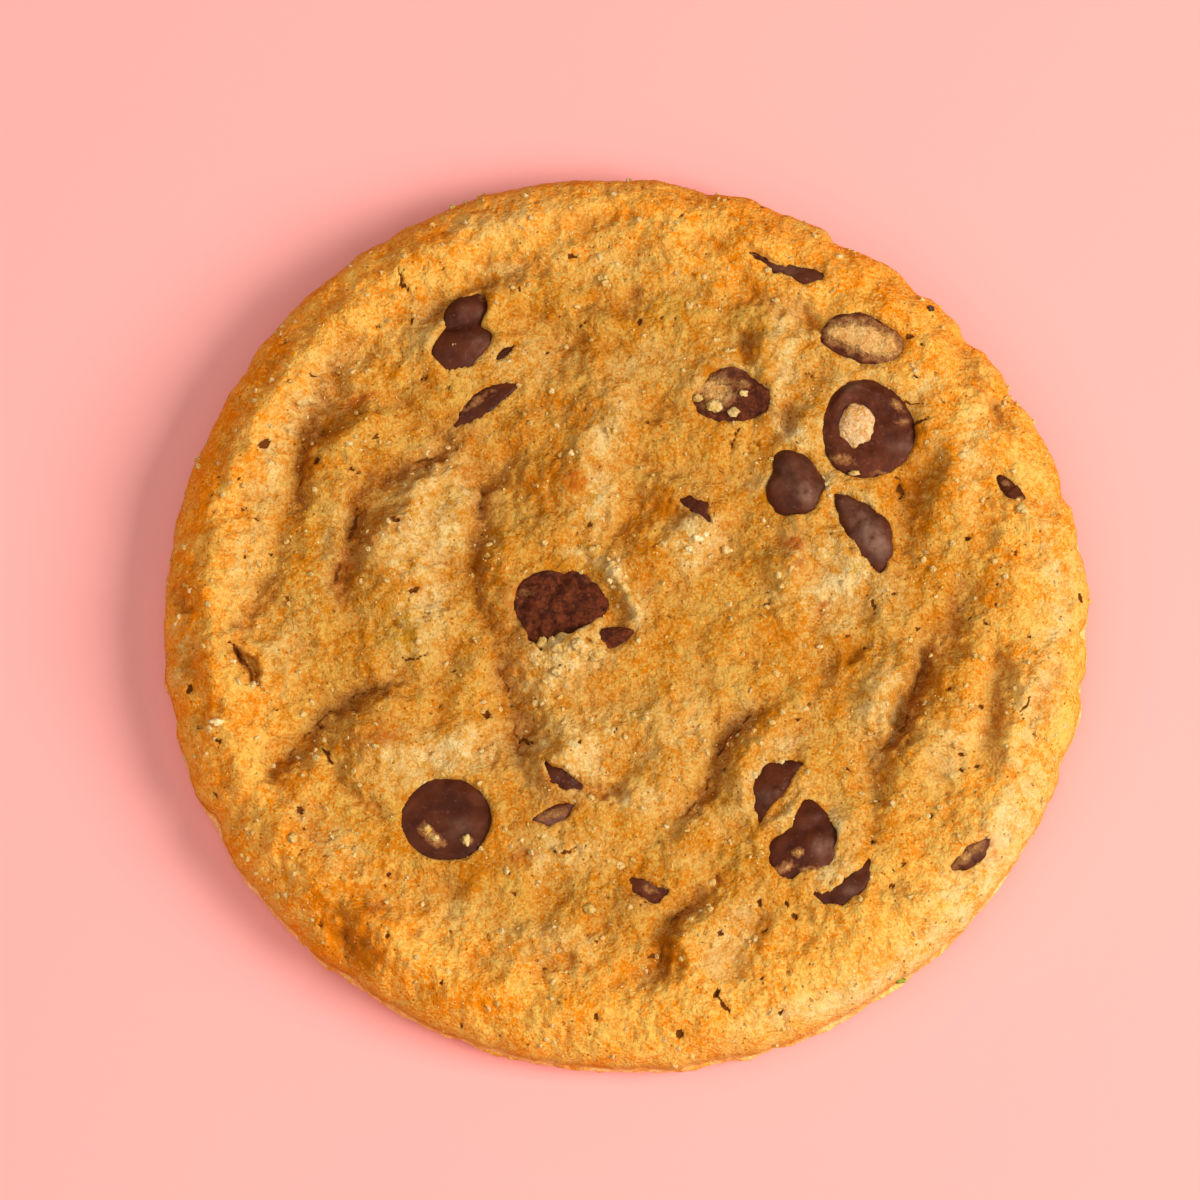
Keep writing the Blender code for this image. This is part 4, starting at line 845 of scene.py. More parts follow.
def dough_sheet():
    """Corners and faces of the closed dough, and the values its colours need."""
    top, faces, ring, painted = dough_top()
    corners, first = [top], len(top)
    turn = np.arctan2(top[ring, 1], top[ring, 0])
    for inset, level, nicked in SIDE_RINGS:
        corners.append(side_ring(turn, inset, level, nicked))
        new = first + np.arange(len(ring))
        faces += ring_faces(ring, new)
        ring, first = new, first + len(ring)
    sole, quads, rim = dough_sole()
    faces += (quads + first).tolist() + joined_rings(ring, rim + first)
    return np.concatenate([*corners, sole]), faces, painted


corners, faces, top_values = dough_sheet()
highest = float(corners[:, 2].max())
print("dough:", len(corners), "corners,", len(faces), "faces,", round(highest, 2), "mm high")

# %% [markdown]
# Baking browns whatever stands out or touches the tray, and leaves the middle and the sheltered dough pale.
# Each corner of the mesh therefore carries a few numbers from 0 to 1, and the material mixes its colours by
# them. Broad patches are ovals, given the same way as the mounds: pale ones on dry crumb and as painted light
# on slopes and lips that face a lamp, tan ones where the dough browned, and olive ones where it stayed damp.

# %% Pale, tan and olive dough
# Pale patches: partly pale dry crumb, partly painted light on slopes and lips that face a lamp
PALE_AND_LIT = ovals(
    (7.3, 7, 1.7, 1.5, 0, 0.8), (-17.9, 8.9, 5, 3.2, 70, 1), (-19.1, 1.4, 4.6, 2.3, 110, 0.75),
    (-22.1, -2.5, 2.9, 1.9, 100, 0.3), (-2.6, 10, 2.5, 1.3, 70, 0.9), (-1.3, 18, 3.8, 2.1, 75, 0.35),
    (-2.5, 14.5, 3.8, 1.3, 80, 0.6), (7.2, 6.1, 2.5, 1.5, 70, 1), (6.1, 8.7, 1.9, 1.3, 60, 0.5),
    (20.9, 3.5, 4, 2.7, -25, 1), (17.7, 1.4, 2.9, 1.5, 10, 0.5), (15.6, 25.7, 4.8, 2.1, 85, 0.7),
    (10.4, 22.3, 3.8, 2.5, 20, 0.5), (-5.8, -4, 3.6, 2.5, 15, 1), (-7.7, -7.4, 2.5, 1.1, 0, 0.5),
    (0.2, 2.2, 2.3, 0.9, -60, 0.7), (-16.3, -13.7, 5.9, 2.3, 10, 0.8), (-22, -15.1, 2.1, 1.5, 60, 0.6),
    (-3.3, -13.5, 4, 2.3, 60, 0.75), (-6.3, -12.2, 2.9, 1.9, 40, 0.4), (20.4, 10.7, 3.8, 1.5, -55, 0.5),
    (18.5, 18, 1.5, 3.8, 85, 0.35), (22.8, 21.4, 3.8, 1.3, 0, 0.4), (9.9, -32.2, 4.2, 1.9, 65, 0.7),
    (-6.3, -32.2, 5.7, 1.9, 0, 0.35), (13.7, -15.1, 4.8, 1.3, 55, 0.8), (15.6, -19, 2.9, 0.8, 52, 0.6),
    (19.4, -22.4, 3, 1.3, 80, 0.9), (19.9, -25.9, 1.9, 1.1, 30, 0.6), (24.2, -8.3, 4.8, 1.5, 65, 0.6),
    (25.1, -12.2, 3.8, 1.1, 65, 0.5), (30.9, -13.2, 3.8, 1.9, 60, 0.5), (33.2, 15, 5.7, 1.3, 85, 0.45),
    (28.5, 20.9, 2.9, 1.3, 60, 0.4), (-31, 18.9, 5.7, 1.7, 62, 0.45), (-33.9, 13.1, 4.8, 1.5, 75, 0.5),
    (-35.8, 5.3, 5.7, 1.7, 80, 0.35), (-32, -3.5, 3.8, 2.1, 80, 0.3), (-27.2, 6.8, 4.8, 1.3, 80, 0.4),
    (-27.7, 22.8, 3.8, 1.7, 50, 0.4), (-19.6, 27.7, 3.4, 2.1, 60, 0.4), (-10.1, 24.3, 3.8, 1.9, 10, 0.6),
    (-12, 38, 7.6, 2.1, 15, 0.3), (-2, 34.5, 5.7, 2.3, 0, 0.2), (22.3, 26.7, 3.2, 1.5, -15, 0.3),
    (1.3, 23.8, 3.8, 1.9, 20, 0.25), (-27.2, -22.9, 4.8, 1.7, -40, 0.3), (-16.8, -28.8, 3.8, 2.1, 0, 0.25),
    (31.8, -27.5, 8.6, 2.5, 55, 0.6), (39.4, -6.3, 8.6, 1.7, 75, 0.6), (40.4, 5.4, 5.7, 1.5, 100, 0.4),
    (36.6, -19.8, 5.7, 1.9, 60, 0.55), (23.2, -35.7, 6.7, 1.9, 30, 0.45), (15.6, -38.3, 5.7, 1.5, 20, 0.35),
    (5.1, -12.2, 5.7, 2.9, 65, 0.35), (-5.3, -23.4, 3.8, 1.9, 10, 0.45), (1.3, -18.1, 3.8, 1, -5, 0.5),
    (7, -21, 3.8, 1.9, 70, 0.2), (-3.2, 5, 1.9, 0.5, -15, 0.9), (-0.9, 3.2, 1.4, 0.5, -52, 0.9),
    (0.9, 0.4, 2.1, 0.6, -84, 1), (-4.7, -4.3, 2.9, 1, 0, 1), (7.2, 6.5, 1.7, 1.2, 20, 0.9),
    (15.6, 17, 2.5, 0.9, -25, 0.7), (-10.9, 33.5, 2.8, 1.1, 8, 0.45), (22.8, 9.6, 1.3, 1, 60, 0.6),
    (29.9, 14.8, 1.6, 1.1, 60, 0.5), (25.1, -10.3, 1.7, 1.1, 60, 0.5), (11, -10.4, 1.8, 1.1, 40, 0.5),
    (22.3, 23.8, 1.2, 1.8, 80, 0.5), (23.7, 15.4, 1.1, 0.8, 40, 0.6), (-41.8, -4.1, 1, 5.5, -8, 0.5),
    (19.9, -1, 3.2, 1.8, 20, 0.3), (13, 12.1, 1.6, 1.1, 0, 0.35), (21.3, -22.2, 1.6, 1.3, 0, 0.35),
)
TAN = ovals(
    (-7.2, 12.1, 4.8, 3.4, 60, 0.6), (-10.1, 17, 3.8, 2.1, 60, 0.5), (-21.5, 13.1, 5.7, 1.5, 25, 0.6),
    (-23.9, 7.2, 4.8, 1.1, 75, 0.8), (-22, 2.4, 2.3, 1.3, 90, 0.4), (-13.9, 13.1, 2.9, 1.9, 60, 0.5),
    (-15.8, 17, 3.8, 1.3, 30, 0.5), (3.2, 9.2, 4.8, 1.9, 20, 0.7), (7, 10.7, 2.9, 1.3, -30, 0.6),
    (16.1, 6.8, 2.5, 1.7, 40, 0.7), (11.3, 11.1, 2.9, 1.9, 80, 0.3), (-23.4, -12, 3.8, 2.1, 20, 0.8),
    (-18.7, -7.4, 4.8, 1.5, 30, 0.4), (-26.3, -8.3, 3.8, 1.3, 30, 0.4), (-23.4, -29, 1.9, 1, 20, 0.7),
    (14.7, -12.7, 4.8, 1.3, 60, 0.3), (22.3, 13.1, 1.9, 3.8, 85, 0.2), (28.5, 14.1, 5.7, 1.7, 88, 0.7),
    (27.5, 9.2, 3.8, 1.3, 88, 0.6), (24.2, 1.4, 2.5, 1.9, 60, 0.4), (29.9, -1.5, 5.7, 1.3, 65, 0.5),
    (26.6, -7.4, 4.8, 1.1, 65, 0.5), (19.4, -4, 3.2, 1.9, 30, 0.35), (9.9, -11.3, 3.2, 1.5, 60, 0.5),
    (8.5, -16.1, 3.2, 1.1, 65, 0.6), (-0.6, -2.5, 2.9, 1.5, 40, 0.4), (-12, -2.5, 4.8, 1.5, 80, 0.5),
    (-10.1, 1.4, 3.8, 1.1, 80, 0.4), (-12, -20, 3.8, 2.1, 60, 0.4), (-8.2, -18.1, 3.8, 1.5, 20, 0.4),
    (1.3, -27.8, 2.9, 1.5, 0, 0.4), (-25.3, -31.6, 3.8, 1.5, -50, 0.9), (34.7, -14.7, 1.5, 1.3, 0, 0.5),
    (-4.4, 21.4, 5.7, 4.8, 30, 0.25), (6.1, 18.4, 3.8, 2.9, 0, 0.3), (12.8, 14.1, 2.9, 1.9, 0, 0.3),
    (-14.9, 31.6, 3.8, 1.3, 20, 0.4), (-26.3, 19.9, 4.8, 1.1, 55, 0.5), (-30.1, 14.1, 4.8, 1.1, 80, 0.4),
    (-1.5, -28.3, 2.3, 1.7, 0, 0.3), (3.7, -31.7, 3.4, 1.3, 60, 0.5), (34.2, 1.4, 2.9, 1.5, 60, 0.3),
    (-2.5, 5.3, 4.8, 1.9, 0, 0.25), (22.3, 35.8, 4.8, 1.7, -30, 0.3), (19.4, 33.1, 1.9, 1, 0, 0.7),
    (1.8, 0.2, 4.8, 3.4, 40, 0.4),
)
OLIVE = ovals(
    (-21, -2.5, 3.2, 2.5, 110, 0.9), (4.7, 29.8, 2.5, 1.7, 40, 0.6), (-30.1, 9.2, 2.9, 1.3, 80, 0.2),
    (12.8, 27.7, 1.9, 3.4, 85, 0.4), (1.3, 28.7, 3.8, 1.9, 30, 0.3), (10.9, -22, 2.9, 1.9, 60, 0.3),
    (8, -18.1, 2.9, 1.5, 60, 0.4), (23.2, -2.5, 3.8, 1.5, 60, 0.35), (-26.3, -0.5, 1.9, 2.9, 80, 0.3),
    (-12, 7.2, 1.9, 2.9, 80, 0.3), (-18.7, 6.8, 1.9, 2.9, 80, 0.3), (-6.3, 3.8, 1.9, 1, 0, 0.3),
    (13.7, 5.3, 1.9, 1.1, 0, 0.3), (7, -3.5, 5.7, 3.8, 60, 0.12), (-13, -25.9, 2.9, 1.5, 0, 0.2),
)
print("patches:", len(PALE_AND_LIT), "pale,", len(TAN), "tan,", len(OLIVE), "olive")

# %% [markdown]
# Smaller marks come next: rusty stains where a chip bled or sugar burnt, painted shade at the feet of walls
# and in hollows with a few cocoa smears, and amber places, where the dough is glassy with melted sugar and,
# in some grooves, carries painted shade. Round the rim, one number for each twelfth of a turn says how
# toasted the edge is, with painted bounce light on the left, and another how pale it stays, with painted
# light where the lamp falls.

# %% Stains, shaded feet and amber dough
STAIN = ovals(
    (16.1, 6.1, 0.9, 0.7, 20, 1), (18.9, 0.4, 0.4, 0.4, 0, 0.9), (-4.6, 12.1, 0.7, 0.6, 0, 1),
    (-25.3, 20.4, 1.3, 0.3, 25, 0.8), (-8.9, 12.5, 1, 0.6, 0, 0.35), (-4.5, 12.1, 0.9, 0.7, 20, 0.85),
    (-4.9, 12.8, 0.6, 0.4, 0, 0.6), (16, 6.4, 1, 0.7, 60, 0.8), (16.5, 4.1, 1, 0.5, 60, 0.7),
    (7, 6, 0.7, 0.4, 60, 0.4), (-25.7, -12.7, 1, 0.6, 0, 0.3), (-23, -12.2, 1.5, 0.9, 0, 0.5),
    (-21.5, -12.7, 1.1, 0.5, 20, 0.35), (-23.4, -28.8, 1.1, 0.6, 30, 0.7), (-21.5, -29.8, 0.8, 0.4, 0, 0.5),
    (35.2, -14.1, 0.6, 0.5, 0, 0.5), (39.3, 10, 0.7, 0.5, 0, 0.4), (-10.1, -23.9, 1.3, 0.6, 10, 0.5),
    (-8.8, -23.3, 0.8, 0.4, 0, 0.6), (-6.3, -19.5, 2.5, 0.9, 20, 0.4), (18.7, 0, 0.8, 0.5, 0, 0.4),
    (8.7, -26, 1, 0.6, 0, 0.6), (6.1, 30.6, 1, 2.9, 70, 0.1), (-19.6, 1.8, 0.8, 0.6, 0, 0.4),
    (34.2, -22.8, 1, 1.3, 60, 0.5), (31, -24.6, 1.1, 0.8, 40, 0.3), (-19.6, 20.9, 2.3, 0.6, 35, 0.25),
    (-25.3, 20.4, 1.9, 0.5, 20, 0.5), (-23.9, 6.8, 1.9, 0.6, 75, 0.35), (-26.3, 3.8, 1.5, 0.8, 60, 0.5),
    (-21.5, 8.2, 0.8, 1.3, 60, 0.4), (-9, 2.4, 2, 0.6, 22, 0.8), (-3.2, 2.6, 1.5, 0.5, -20, 0.6),
    (-10.6, 0.9, 0.8, 0.6, 60, 0.5),
)
# Painted shade at the feet of walls and in hollows, and a few cocoa smears; the negative ones take painted
# shade away
SHADED = ovals(
    (-16.8, 17.6, 1.7, 0.7, 55, 1), (-8.9, -11.7, 0.8, 1.9, -10, 1), (-1.3, 17, 1.1, 0.9, 0, 0.4),
    (-27.4, 24.3, 3.8, 1.1, 65, 0.6), (-30.1, 16, 4.3, 1.2, 72, 0.7), (-32, 7.7, 4.3, 1.1, 82, 0.6),
    (-36, -1, 3.8, 1, 60, 0.4), (-24.6, 11.1, 3.3, 1.2, 72, 0.6), (-26.3, 2.4, 4.3, 1.5, 85, 0.7),
    (-15.6, 17.5, 2.9, 1.9, 40, 0.6), (-12, 9.2, 1.9, 1.5, 60, 0.2), (-13.4, 5.3, 2.9, 1.7, 80, 0.5),
    (-10.6, -2.5, 4.8, 2.1, 95, 0.8), (-9.9, -11.7, 2.9, 1.1, 85, 0.7), (-7.4, -17.9, 3.3, 2.1, 20, 0.45),
    (-14.9, -25.1, 3.3, 1.3, 20, 0.6), (13.3, -18.1, 3, 1.2, 70, 0.7), (15.1, -24.4, 2.1, 1.3, -30, 0.5),
    (-30.1, -20, 5.7, 1.7, -62, 0.7), (-25.8, -30.2, 3.8, 1.9, -60, 0.7), (26.9, 17, 1.9, 1.1, 60, 0.7),
    (26.8, 10.5, 6, 1.2, 85, 0.35), (26.6, 0.4, 2.4, 1.1, 95, 0.5), (18.5, 33, 1.5, 0.8, -15, 0.4),
    (7, 23.3, 2.1, 1.3, 60, 0.6), (13.2, 19.1, 1.9, 1, 20, 0.5), (7.5, 8.4, 2.1, 1.1, -40, 0.4),
    (1.3, -27.3, 2.4, 1.1, 10, 0.4), (-12, -32.7, 2.9, 1.1, 0, 0.3), (2.3, -34.1, 1.9, 2.4, 0, 0.3),
    (-6.3, -32.2, 1.9, 1.1, 0, 0.25), (-0.1, 5.3, 1.7, 1.3, 60, 0.5), (-6.3, 13.1, 2.4, 1.7, 30, 0.3),
    (-24.4, -13.2, 2.4, 1.1, 30, 0.3), (-21.5, -6.4, 2.9, 1.3, 20, 0.4), (14.7, 37.5, 3.8, 1, -10, 0.3),
    (-2.5, 24.8, 5.7, 3.8, 20, 0.2), (-13.9, 13.1, 3.8, 2.9, 50, 0.2), (-17.7, 16.4, 2.6, 0.9, 32, 0.7),
    (-24.4, 7.7, 1.6, 1, 70, 0.5), (-10, -2.2, 1.1, 0.9, 40, 0.9), (-37.6, -3.9, 2.2, 1, 110, 0.5),
    (-36.6, -12.2, 1.6, 0.9, 110, 0.4), (-28.2, -25.1, 1.8, 1, 120, 0.5), (18.5, 33, 1.6, 0.7, -20, 0.5),
    (25.1, 27.5, 1.6, 0.7, -25, 0.4), (13.7, 19.2, 1.3, 0.8, 60, 0.6), (6.1, 9.1, 1.6, 0.7, -20, 0.6),
    (26.6, 15.8, 1.4, 0.9, 80, 0.5), (25.6, 3.2, 1.4, 0.8, 60, 0.5), (37.5, 10, 1.4, 0.9, -50, 0.5),
    (34.2, -1.7, 1.6, 0.9, 90, 0.5), (-0.6, 4.7, 1.6, 0.7, 0, 0.5), (-1.5, -39.3, 1.8, 0.7, 0, 0.4),
    (27.5, 20.7, 0.9, 0.5, 60, -0.5), (4.3, -30.8, 1, 0.8, 60, -0.5), (-27.1, -29.7, 1.1, 0.8, 60, -0.5),
    (-6.7, -17.1, 2.2, 1, -28, 1), (-9.1, -21.2, 1.6, 0.9, 30, 0.8), (1.3, -27.6, 1.8, 1.2, -20, 1),
    (-9.4, -23.2, 1, 0.7, 0, 0.8), (-14.3, -22.2, 1.6, 0.6, 40, 0.8), (14.7, -16.9, 1.5, 0.7, 30, 0.8),
)
# Deep amber dough, glassy with melted sugar; in some grooves, as beside the ring-shaped chip, it is painted
# shade
AMBER_AND_SHADE = ovals(
    (-18.7, 35.6, 2.1, 1.3, 40, 0.9), (27.9, 17.6, 0.8, 3.4, -5, 1), (27, 11.5, 1.4, 5.5, -5, 0.35),
    (12.6, 25, 2.1, 1.5, 90, 0.9), (-27.7, 18, 1.9, 1, 50, 0.7), (-30.1, 14.1, 3.3, 1.1, 70, 0.8),
    (-13, 4.1, 2.9, 2.1, 90, 0.7), (-6.8, 11.6, 3.8, 1.3, 5, 0.6), (1.3, 5.1, 2.5, 1.7, 60, 0.7),
    (-21.5, -1, 2.9, 1.5, -50, 0.7), (-25.8, 1.4, 2.9, 1.3, 85, 0.5), (-30.1, -12.7, 3.3, 1.1, 35, 0.6),
    (-32.2, -15.9, 1.5, 1.5, 0, 0.8), (-26.3, -30.6, 4.3, 2.7, -60, 0.8), (29.9, 13.6, 5.2, 1.7, 88, 0.8),
    (34.2, 1.4, 5.7, 1.3, 100, 0.5), (21.3, -4.7, 1.7, 1.3, 40, 0.7), (29.4, -7.4, 3.3, 1.3, 80, 0.6),
    (24.2, -15.1, 1.9, 1.3, 30, 0.5), (8.2, -18.1, 4.3, 1, 75, 0.6), (4.2, -32.7, 1.9, 1.5, 60, 0.7),
    (-13.9, -37.5, 2.9, 1.1, 0, 0.6), (-13, -24.9, 2.4, 1.3, 0, 0.6), (-35.8, 21.1, 6.7, 1.3, 55, 0.7),
    (-40.1, 9.4, 6.7, 1.1, 78, 0.7), (-41.5, -0.3, 5.7, 1, 90, 0.7), (-39.1, -8.3, 2.9, 1.1, 100, 0.5),
    (12.3, 32.6, 5.7, 1.5, -50, 0.4), (24.2, 30.6, 4.8, 1, -40, 0.4), (-6.3, 4.3, 3.2, 0.9, -10, 0.9),
    (4, 10, 2.1, 1, -10, 0.9), (39.3, 10, 1, 0.8, 0, 0.8), (-18.7, 35.6, 2.3, 1.2, 25, 0.5),
    (-26.1, 18, 1.8, 1.1, 60, 0.5), (-30.1, 13.1, 1.1, 2.6, 0, 0.5), (-17.7, 14.5, 2.2, 0.8, 20, 0.5),
    (-4.4, 18, 1.6, 1.1, 60, 0.5), (12.8, 24.8, 1.4, 1, 60, 0.5), (-21.5, -2.1, 1.4, 1.8, 0, 0.4),
    (-7.7, -8.3, 2.6, 1.1, 10, 0.45), (-32, -16.1, 1.6, 1.3, 100, 0.5), (-28, -26.8, 1.8, 1.2, 120, 0.5),
    (-24.2, -32.6, 2.2, 1.1, -30, 0.5), (-13.9, -26.8, 2.2, 1.3, 0, 0.4), (-13.9, -37.5, 3, 1, -5, 0.4),
    (1.8, -34.1, 3, 1.2, 20, 0.5), (28.5, 5.3, 1.3, 4.4, 0, 0.45), (27.5, -7.4, 1.2, 3.2, 20, 0.4),
    (32.8, 5.3, 1.3, 1.3, 0, 0.4), (24.2, -20.5, 1.3, 3, 0, 0.45),
)
MIDDLE_START, MIDDLE_FADE = 5.0, 9.0  # where the paler rim gives way to the tanned middle
EDGE_TOAST = 3.4  # width of the orange band at the very edge, in millimetres
RIM_WIDTH = 9.0
# Round the rim from +X at even steps: how toasted the very edge is, with painted bounce light on the left,
# and how pale the rim stays, with painted light towards the front and the right, where the lamp falls
EDGE_TOASTING_AND_BOUNCE = (0.2, 0.55, 0.7, 0.6, 0.85, 0.9, 0.9, 0.65, 0.2, 0.0, 0.0, 0.0)
RIM_PALENESS_AND_LIGHT = (0.3, 0.1, 0.0, 0.05, 0.15, 0.1, 0.05, 0.0, 0.0, 0.1, 0.4, 0.5)
print("marks:", len(STAIN), "stains,", len(SHADED), "shaded,", len(AMBER_AND_SHADE), "amber_and_shade")

# %% [markdown]
# Now every corner gets its numbers. The values of the top come with its shape, because pores, feet and crumbs
# are known there, and the rest are read from the tables.

# %% How baked each part is
SIDE_TOP, SIDE_FADE = 0.8, 1.2  # how far over the widest place the side's colour climbs
SOLE_TOP, SOLE_FADE = 0.5, 0.4
SHADE_STRENGTH = 0.55
LOOSE_LENGTH = 5.0  # of the noise that gathers the loose crumbs


def patch_sum(x, y, patches, limit=1.0):
    total = np.zeros_like(x)
    for patch in patches:
        near = (np.abs(x - patch.x) < 3 * patch.half_length) & (np.abs(y - patch.y) < 3 * patch.half_length)
        total[near] += mound_height(x[near], y[near], patch)
    return np.minimum(total, limit)


def baked_values():
    x, y, z = corners.T
    heading = np.arctan2(y, x)
    edge = outline_radius(heading) - np.hypot(x, y)
    top = len(top_values["wide"])
    tables = {"pale": PALE_AND_LIT, "tan": TAN, "olive": OLIVE, "stain": STAIN, "amber_and_shade": AMBER_AND_SHADE}
    values = {name: patch_sum(x, y, patches) for name, patches in tables.items()}
    rim = np.exp(-(np.maximum(edge, 0.0) / RIM_WIDTH) ** 2)
    values["fair"] = rim * radius_at(RIM_PALENESS_AND_LIGHT, heading)
    values["middle"] = smooth_step((edge - MIDDLE_START) / MIDDLE_FADE)
    # toasted edge, partly painted bounce light on the left edge, which faces away from the lamp
    values["toast_and_bounce"] = np.exp(-(np.maximum(edge, 0.0) / EDGE_TOAST) ** 2) * radius_at(EDGE_TOASTING_AND_BOUNCE, heading)
    values["side"] = smooth_step((WIDEST_HEIGHT + SIDE_TOP - z) / SIDE_FADE)
    values["sole"] = smooth_step((SOLE_TOP - z) / SOLE_FADE)
    for name, numbers in top_values.items():
        values[name] = np.zeros(len(x))
        values[name][:top] = numbers
    # painted shade: the feet of the folds, with the shaded patches added
    values["fold_shade"] = np.minimum(values["fold_shade"] + SHADE_STRENGTH * patch_sum(x, y, SHADED), 1.0)
    values["fine"] = np.clip(values["fine"] / 1.2 + 0.6, 0.0, 1.0)
    values["wide"] = np.clip(values["wide"] / 2.0 + 0.5, 0.0, 1.0)
    for name in (*tables, "fold_shade"):
        values[name] = values[name] * (1.0 - values["side"])
    bare = np.maximum(np.maximum(values["shown"], values["pore"]), np.maximum(values["sole"], values["side"]))
    gathered = 2.0 * noise_field(x, y, LOOSE_LENGTH, 41.0)
    crowd = smooth_step(gathered + 0.5 + 0.3 * values["pale"] - 0.5 * values["tan"])
    values["loose"] = np.where(bare > 0.1, 0.0, 0.15 + 0.85 * crowd)
    return values


values = baked_values()
print("baked values:", ", ".join(sorted(values)))


# %% The dough as an object
def mesh_object(name, corners, faces, values=None):
    """A mesh in millimetres becomes an object in metres, centred like the solids."""
    mesh = bpy.data.meshes.new(name)
    placed = (np.asarray(corners) - (MIDDLE[0], MIDDLE[1], 0.0)) * MM
    mesh.from_pydata(placed.tolist(), [], faces)
    for value_name, numbers in (values or {}).items():
        stored = mesh.attributes.new(value_name, "FLOAT", "POINT")
        stored.data.foreach_set("value", np.asarray(numbers, dtype=np.float32))
    mesh.shade_smooth()
    mesh.validate()
    made = bpy.data.objects.new(name, mesh)
    bpy.context.scene.collection.objects.link(made)
    return made


dough = mesh_object("baked_dough", corners, faces, values)
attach(dough, "root")
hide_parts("dough")
print("dough triangles:", sum(len(face) - 2 for face in faces))

# %% [markdown]
# Every material starts from the same few helpers: one adds a node with its values or links, one mixes two
# colours, and one makes noise at a real size. The noise reads Object coordinates, which are metres here, so a
# size in millimetres turns into the texture's scale.

# %% Helpers for materials
def add_node(tree, kind, values=None, **settings):
    """A node whose inputs are given as numbers, colours or another node's output."""
    made = tree.nodes.new(kind)
    for name, setting in settings.items():
        setattr(made, name, setting)
    for name, value in (values or {}).items():
        socket = made.inputs[name]
        if isinstance(value, bpy.types.NodeSocket):
            tree.links.new(value, socket)
        else:
            socket.default_value = value
    return made


def mixed(tree, share, first, second):
    node = add_node(tree, "ShaderNodeMix", {0: share}, data_type="RGBA")
    for index, colour in ((6, first), (7, second)):
        if isinstance(colour, bpy.types.NodeSocket):
            tree.links.new(colour, node.inputs[index])
        else:
            node.inputs[index].default_value = (*colour, 1.0)
    return node.outputs[2]


def mixed_value(tree, share, first, second):
    return add_node(tree, "ShaderNodeMix", {0: share, 2: first, 3: second}, data_type="FLOAT").outputs[0]


def mathed(tree, operation, first, second=0.0):
    return add_node(tree, "ShaderNodeMath", {0: first, 1: second}, operation=operation).outputs[0]


def times(tree, first, second):
    return mathed(tree, "MULTIPLY", first, second)


def ranged(tree, value, low, high, to_low=0.0, to_high=1.0):
    """The value's part between low and high, stretched to run from to_low to to_high."""
    return add_node(tree, "ShaderNodeMapRange", {0: value, 1: low, 2: high, 3: to_low, 4: to_high}).outputs[0]


def sized_noise(tree, place, size, detail=2.0, roughness=0.5):
    values = {"Vector": place, "Scale": 1.0 / (size * MM), "Detail": detail, "Roughness": roughness}
    return add_node(tree, "ShaderNodeTexNoise", values).outputs["Fac"]


def grains(tree, place, size):
    """Sand-like grains: a number drawn for each grain, and how far each place is from its grain's middle."""
    cells = add_node(tree, "ShaderNodeTexVoronoi", {"Vector": place, "Scale": 1.0 / (size * MM)})
    return add_node(tree, "ShaderNodeSeparateColor", {"Color": cells.outputs["Color"]}).outputs[0], \
        cells.outputs["Distance"]


def attribute(tree, name):
    return add_node(tree, "ShaderNodeAttribute", attribute_name=name).outputs["Fac"]


def new_material(name):
    made = bpy.data.materials.new(name)
    made.use_nodes = True
    tree = made.node_tree
    return made, tree, tree.nodes["Principled BSDF"], add_node(tree, "ShaderNodeTexCoord").outputs["Object"]


def bumped(tree, height, distance, strength=1.0, under=None):
    values = {"Height": height, "Distance": distance * MM, "Strength": strength}
    if under:
        values["Normal"] = under
    return add_node(tree, "ShaderNodeBump", values).outputs["Normal"]


print("material helpers ready")

# %% [markdown]
# Baked dough has no single colour, but a range of them from grain to grain: from a deep shade where sugar has
# browned in the gaps to a light one where crumb stands dry and pale. Each part of the cookie has its own pair
# of shades, and one number, made of noise of all sizes, of the grains and of how far a crumb stands out, says
# how far each place goes from the deep shade to the light one.

# %% The baked dough's colours
Shades = namedtuple("Shades", "deep light")
RIM = Shades((0.765, 0.208, 0.002), (0.805, 0.458, 0.088))
MIDDLE_CRUST = Shades((0.540, 0.155, 0.002), (0.645, 0.348, 0.062))
TAN_CRUST = Shades((0.440, 0.121, 0.003), (0.558, 0.264, 0.050))
OLIVE_CRUST = Shades((0.47, 0.205, 0.006), (0.60, 0.345, 0.070))
# Toasted edge, its shades raised as painted bounce light on the left edge, which faces away from the lamp
TOASTED_AND_BOUNCE_LIT = Shades((0.82, 0.195, 0.002), (0.93, 0.390, 0.050))
# The darker brown of the painted shade at the feet of folds and in the shaded patches
FOLD_SHADE_BROWN = Shades((0.25, 0.060, 0.003), (0.42, 0.160, 0.035))
PALE_CRUMB = Shades((0.62, 0.325, 0.045), (0.75, 0.530, 0.230))
SIDE_CRUST = Shades((0.84, 0.345, 0.035), (1.0, 0.620, 0.230))
SOLE = Shades((0.30, 0.090, 0.008), (0.66, 0.330, 0.100))
# Brown of the pores, cracks and creases, partly painted shade in them
PORE_BROWN_AND_SHADE = (0.15, 0.040, 0.005)
COCOA = (0.14, 0.045, 0.022)
RUST = (0.42, 0.085, 0.006)


def broken(tree, place, weight, size, spread=0.5):
    """A painted patch whose border is broken up by noise."""
    wander = ranged(tree, sized_noise(tree, place, size, 3.0), 0.3, 0.7, -spread, spread)
    raised = mathed(tree, "ADD", weight, times(tree, wander, times(tree, weight, 1.6)))
    return mathed(tree, "MINIMUM", mathed(tree, "MAXIMUM", raised, 0.0), 1.0)


def summed(tree, start, *parts):
    """Start plus each part's value, less its middle, times its strength, kept between 0 and 1."""
    total = start
    for value, middle, strength in parts:
        total = mathed(tree, "ADD", total, times(tree, mathed(tree, "SUBTRACT", value, middle), strength))
    return mathed(tree, "MINIMUM", mathed(tree, "MAXIMUM", total, 0.0), 1.0)


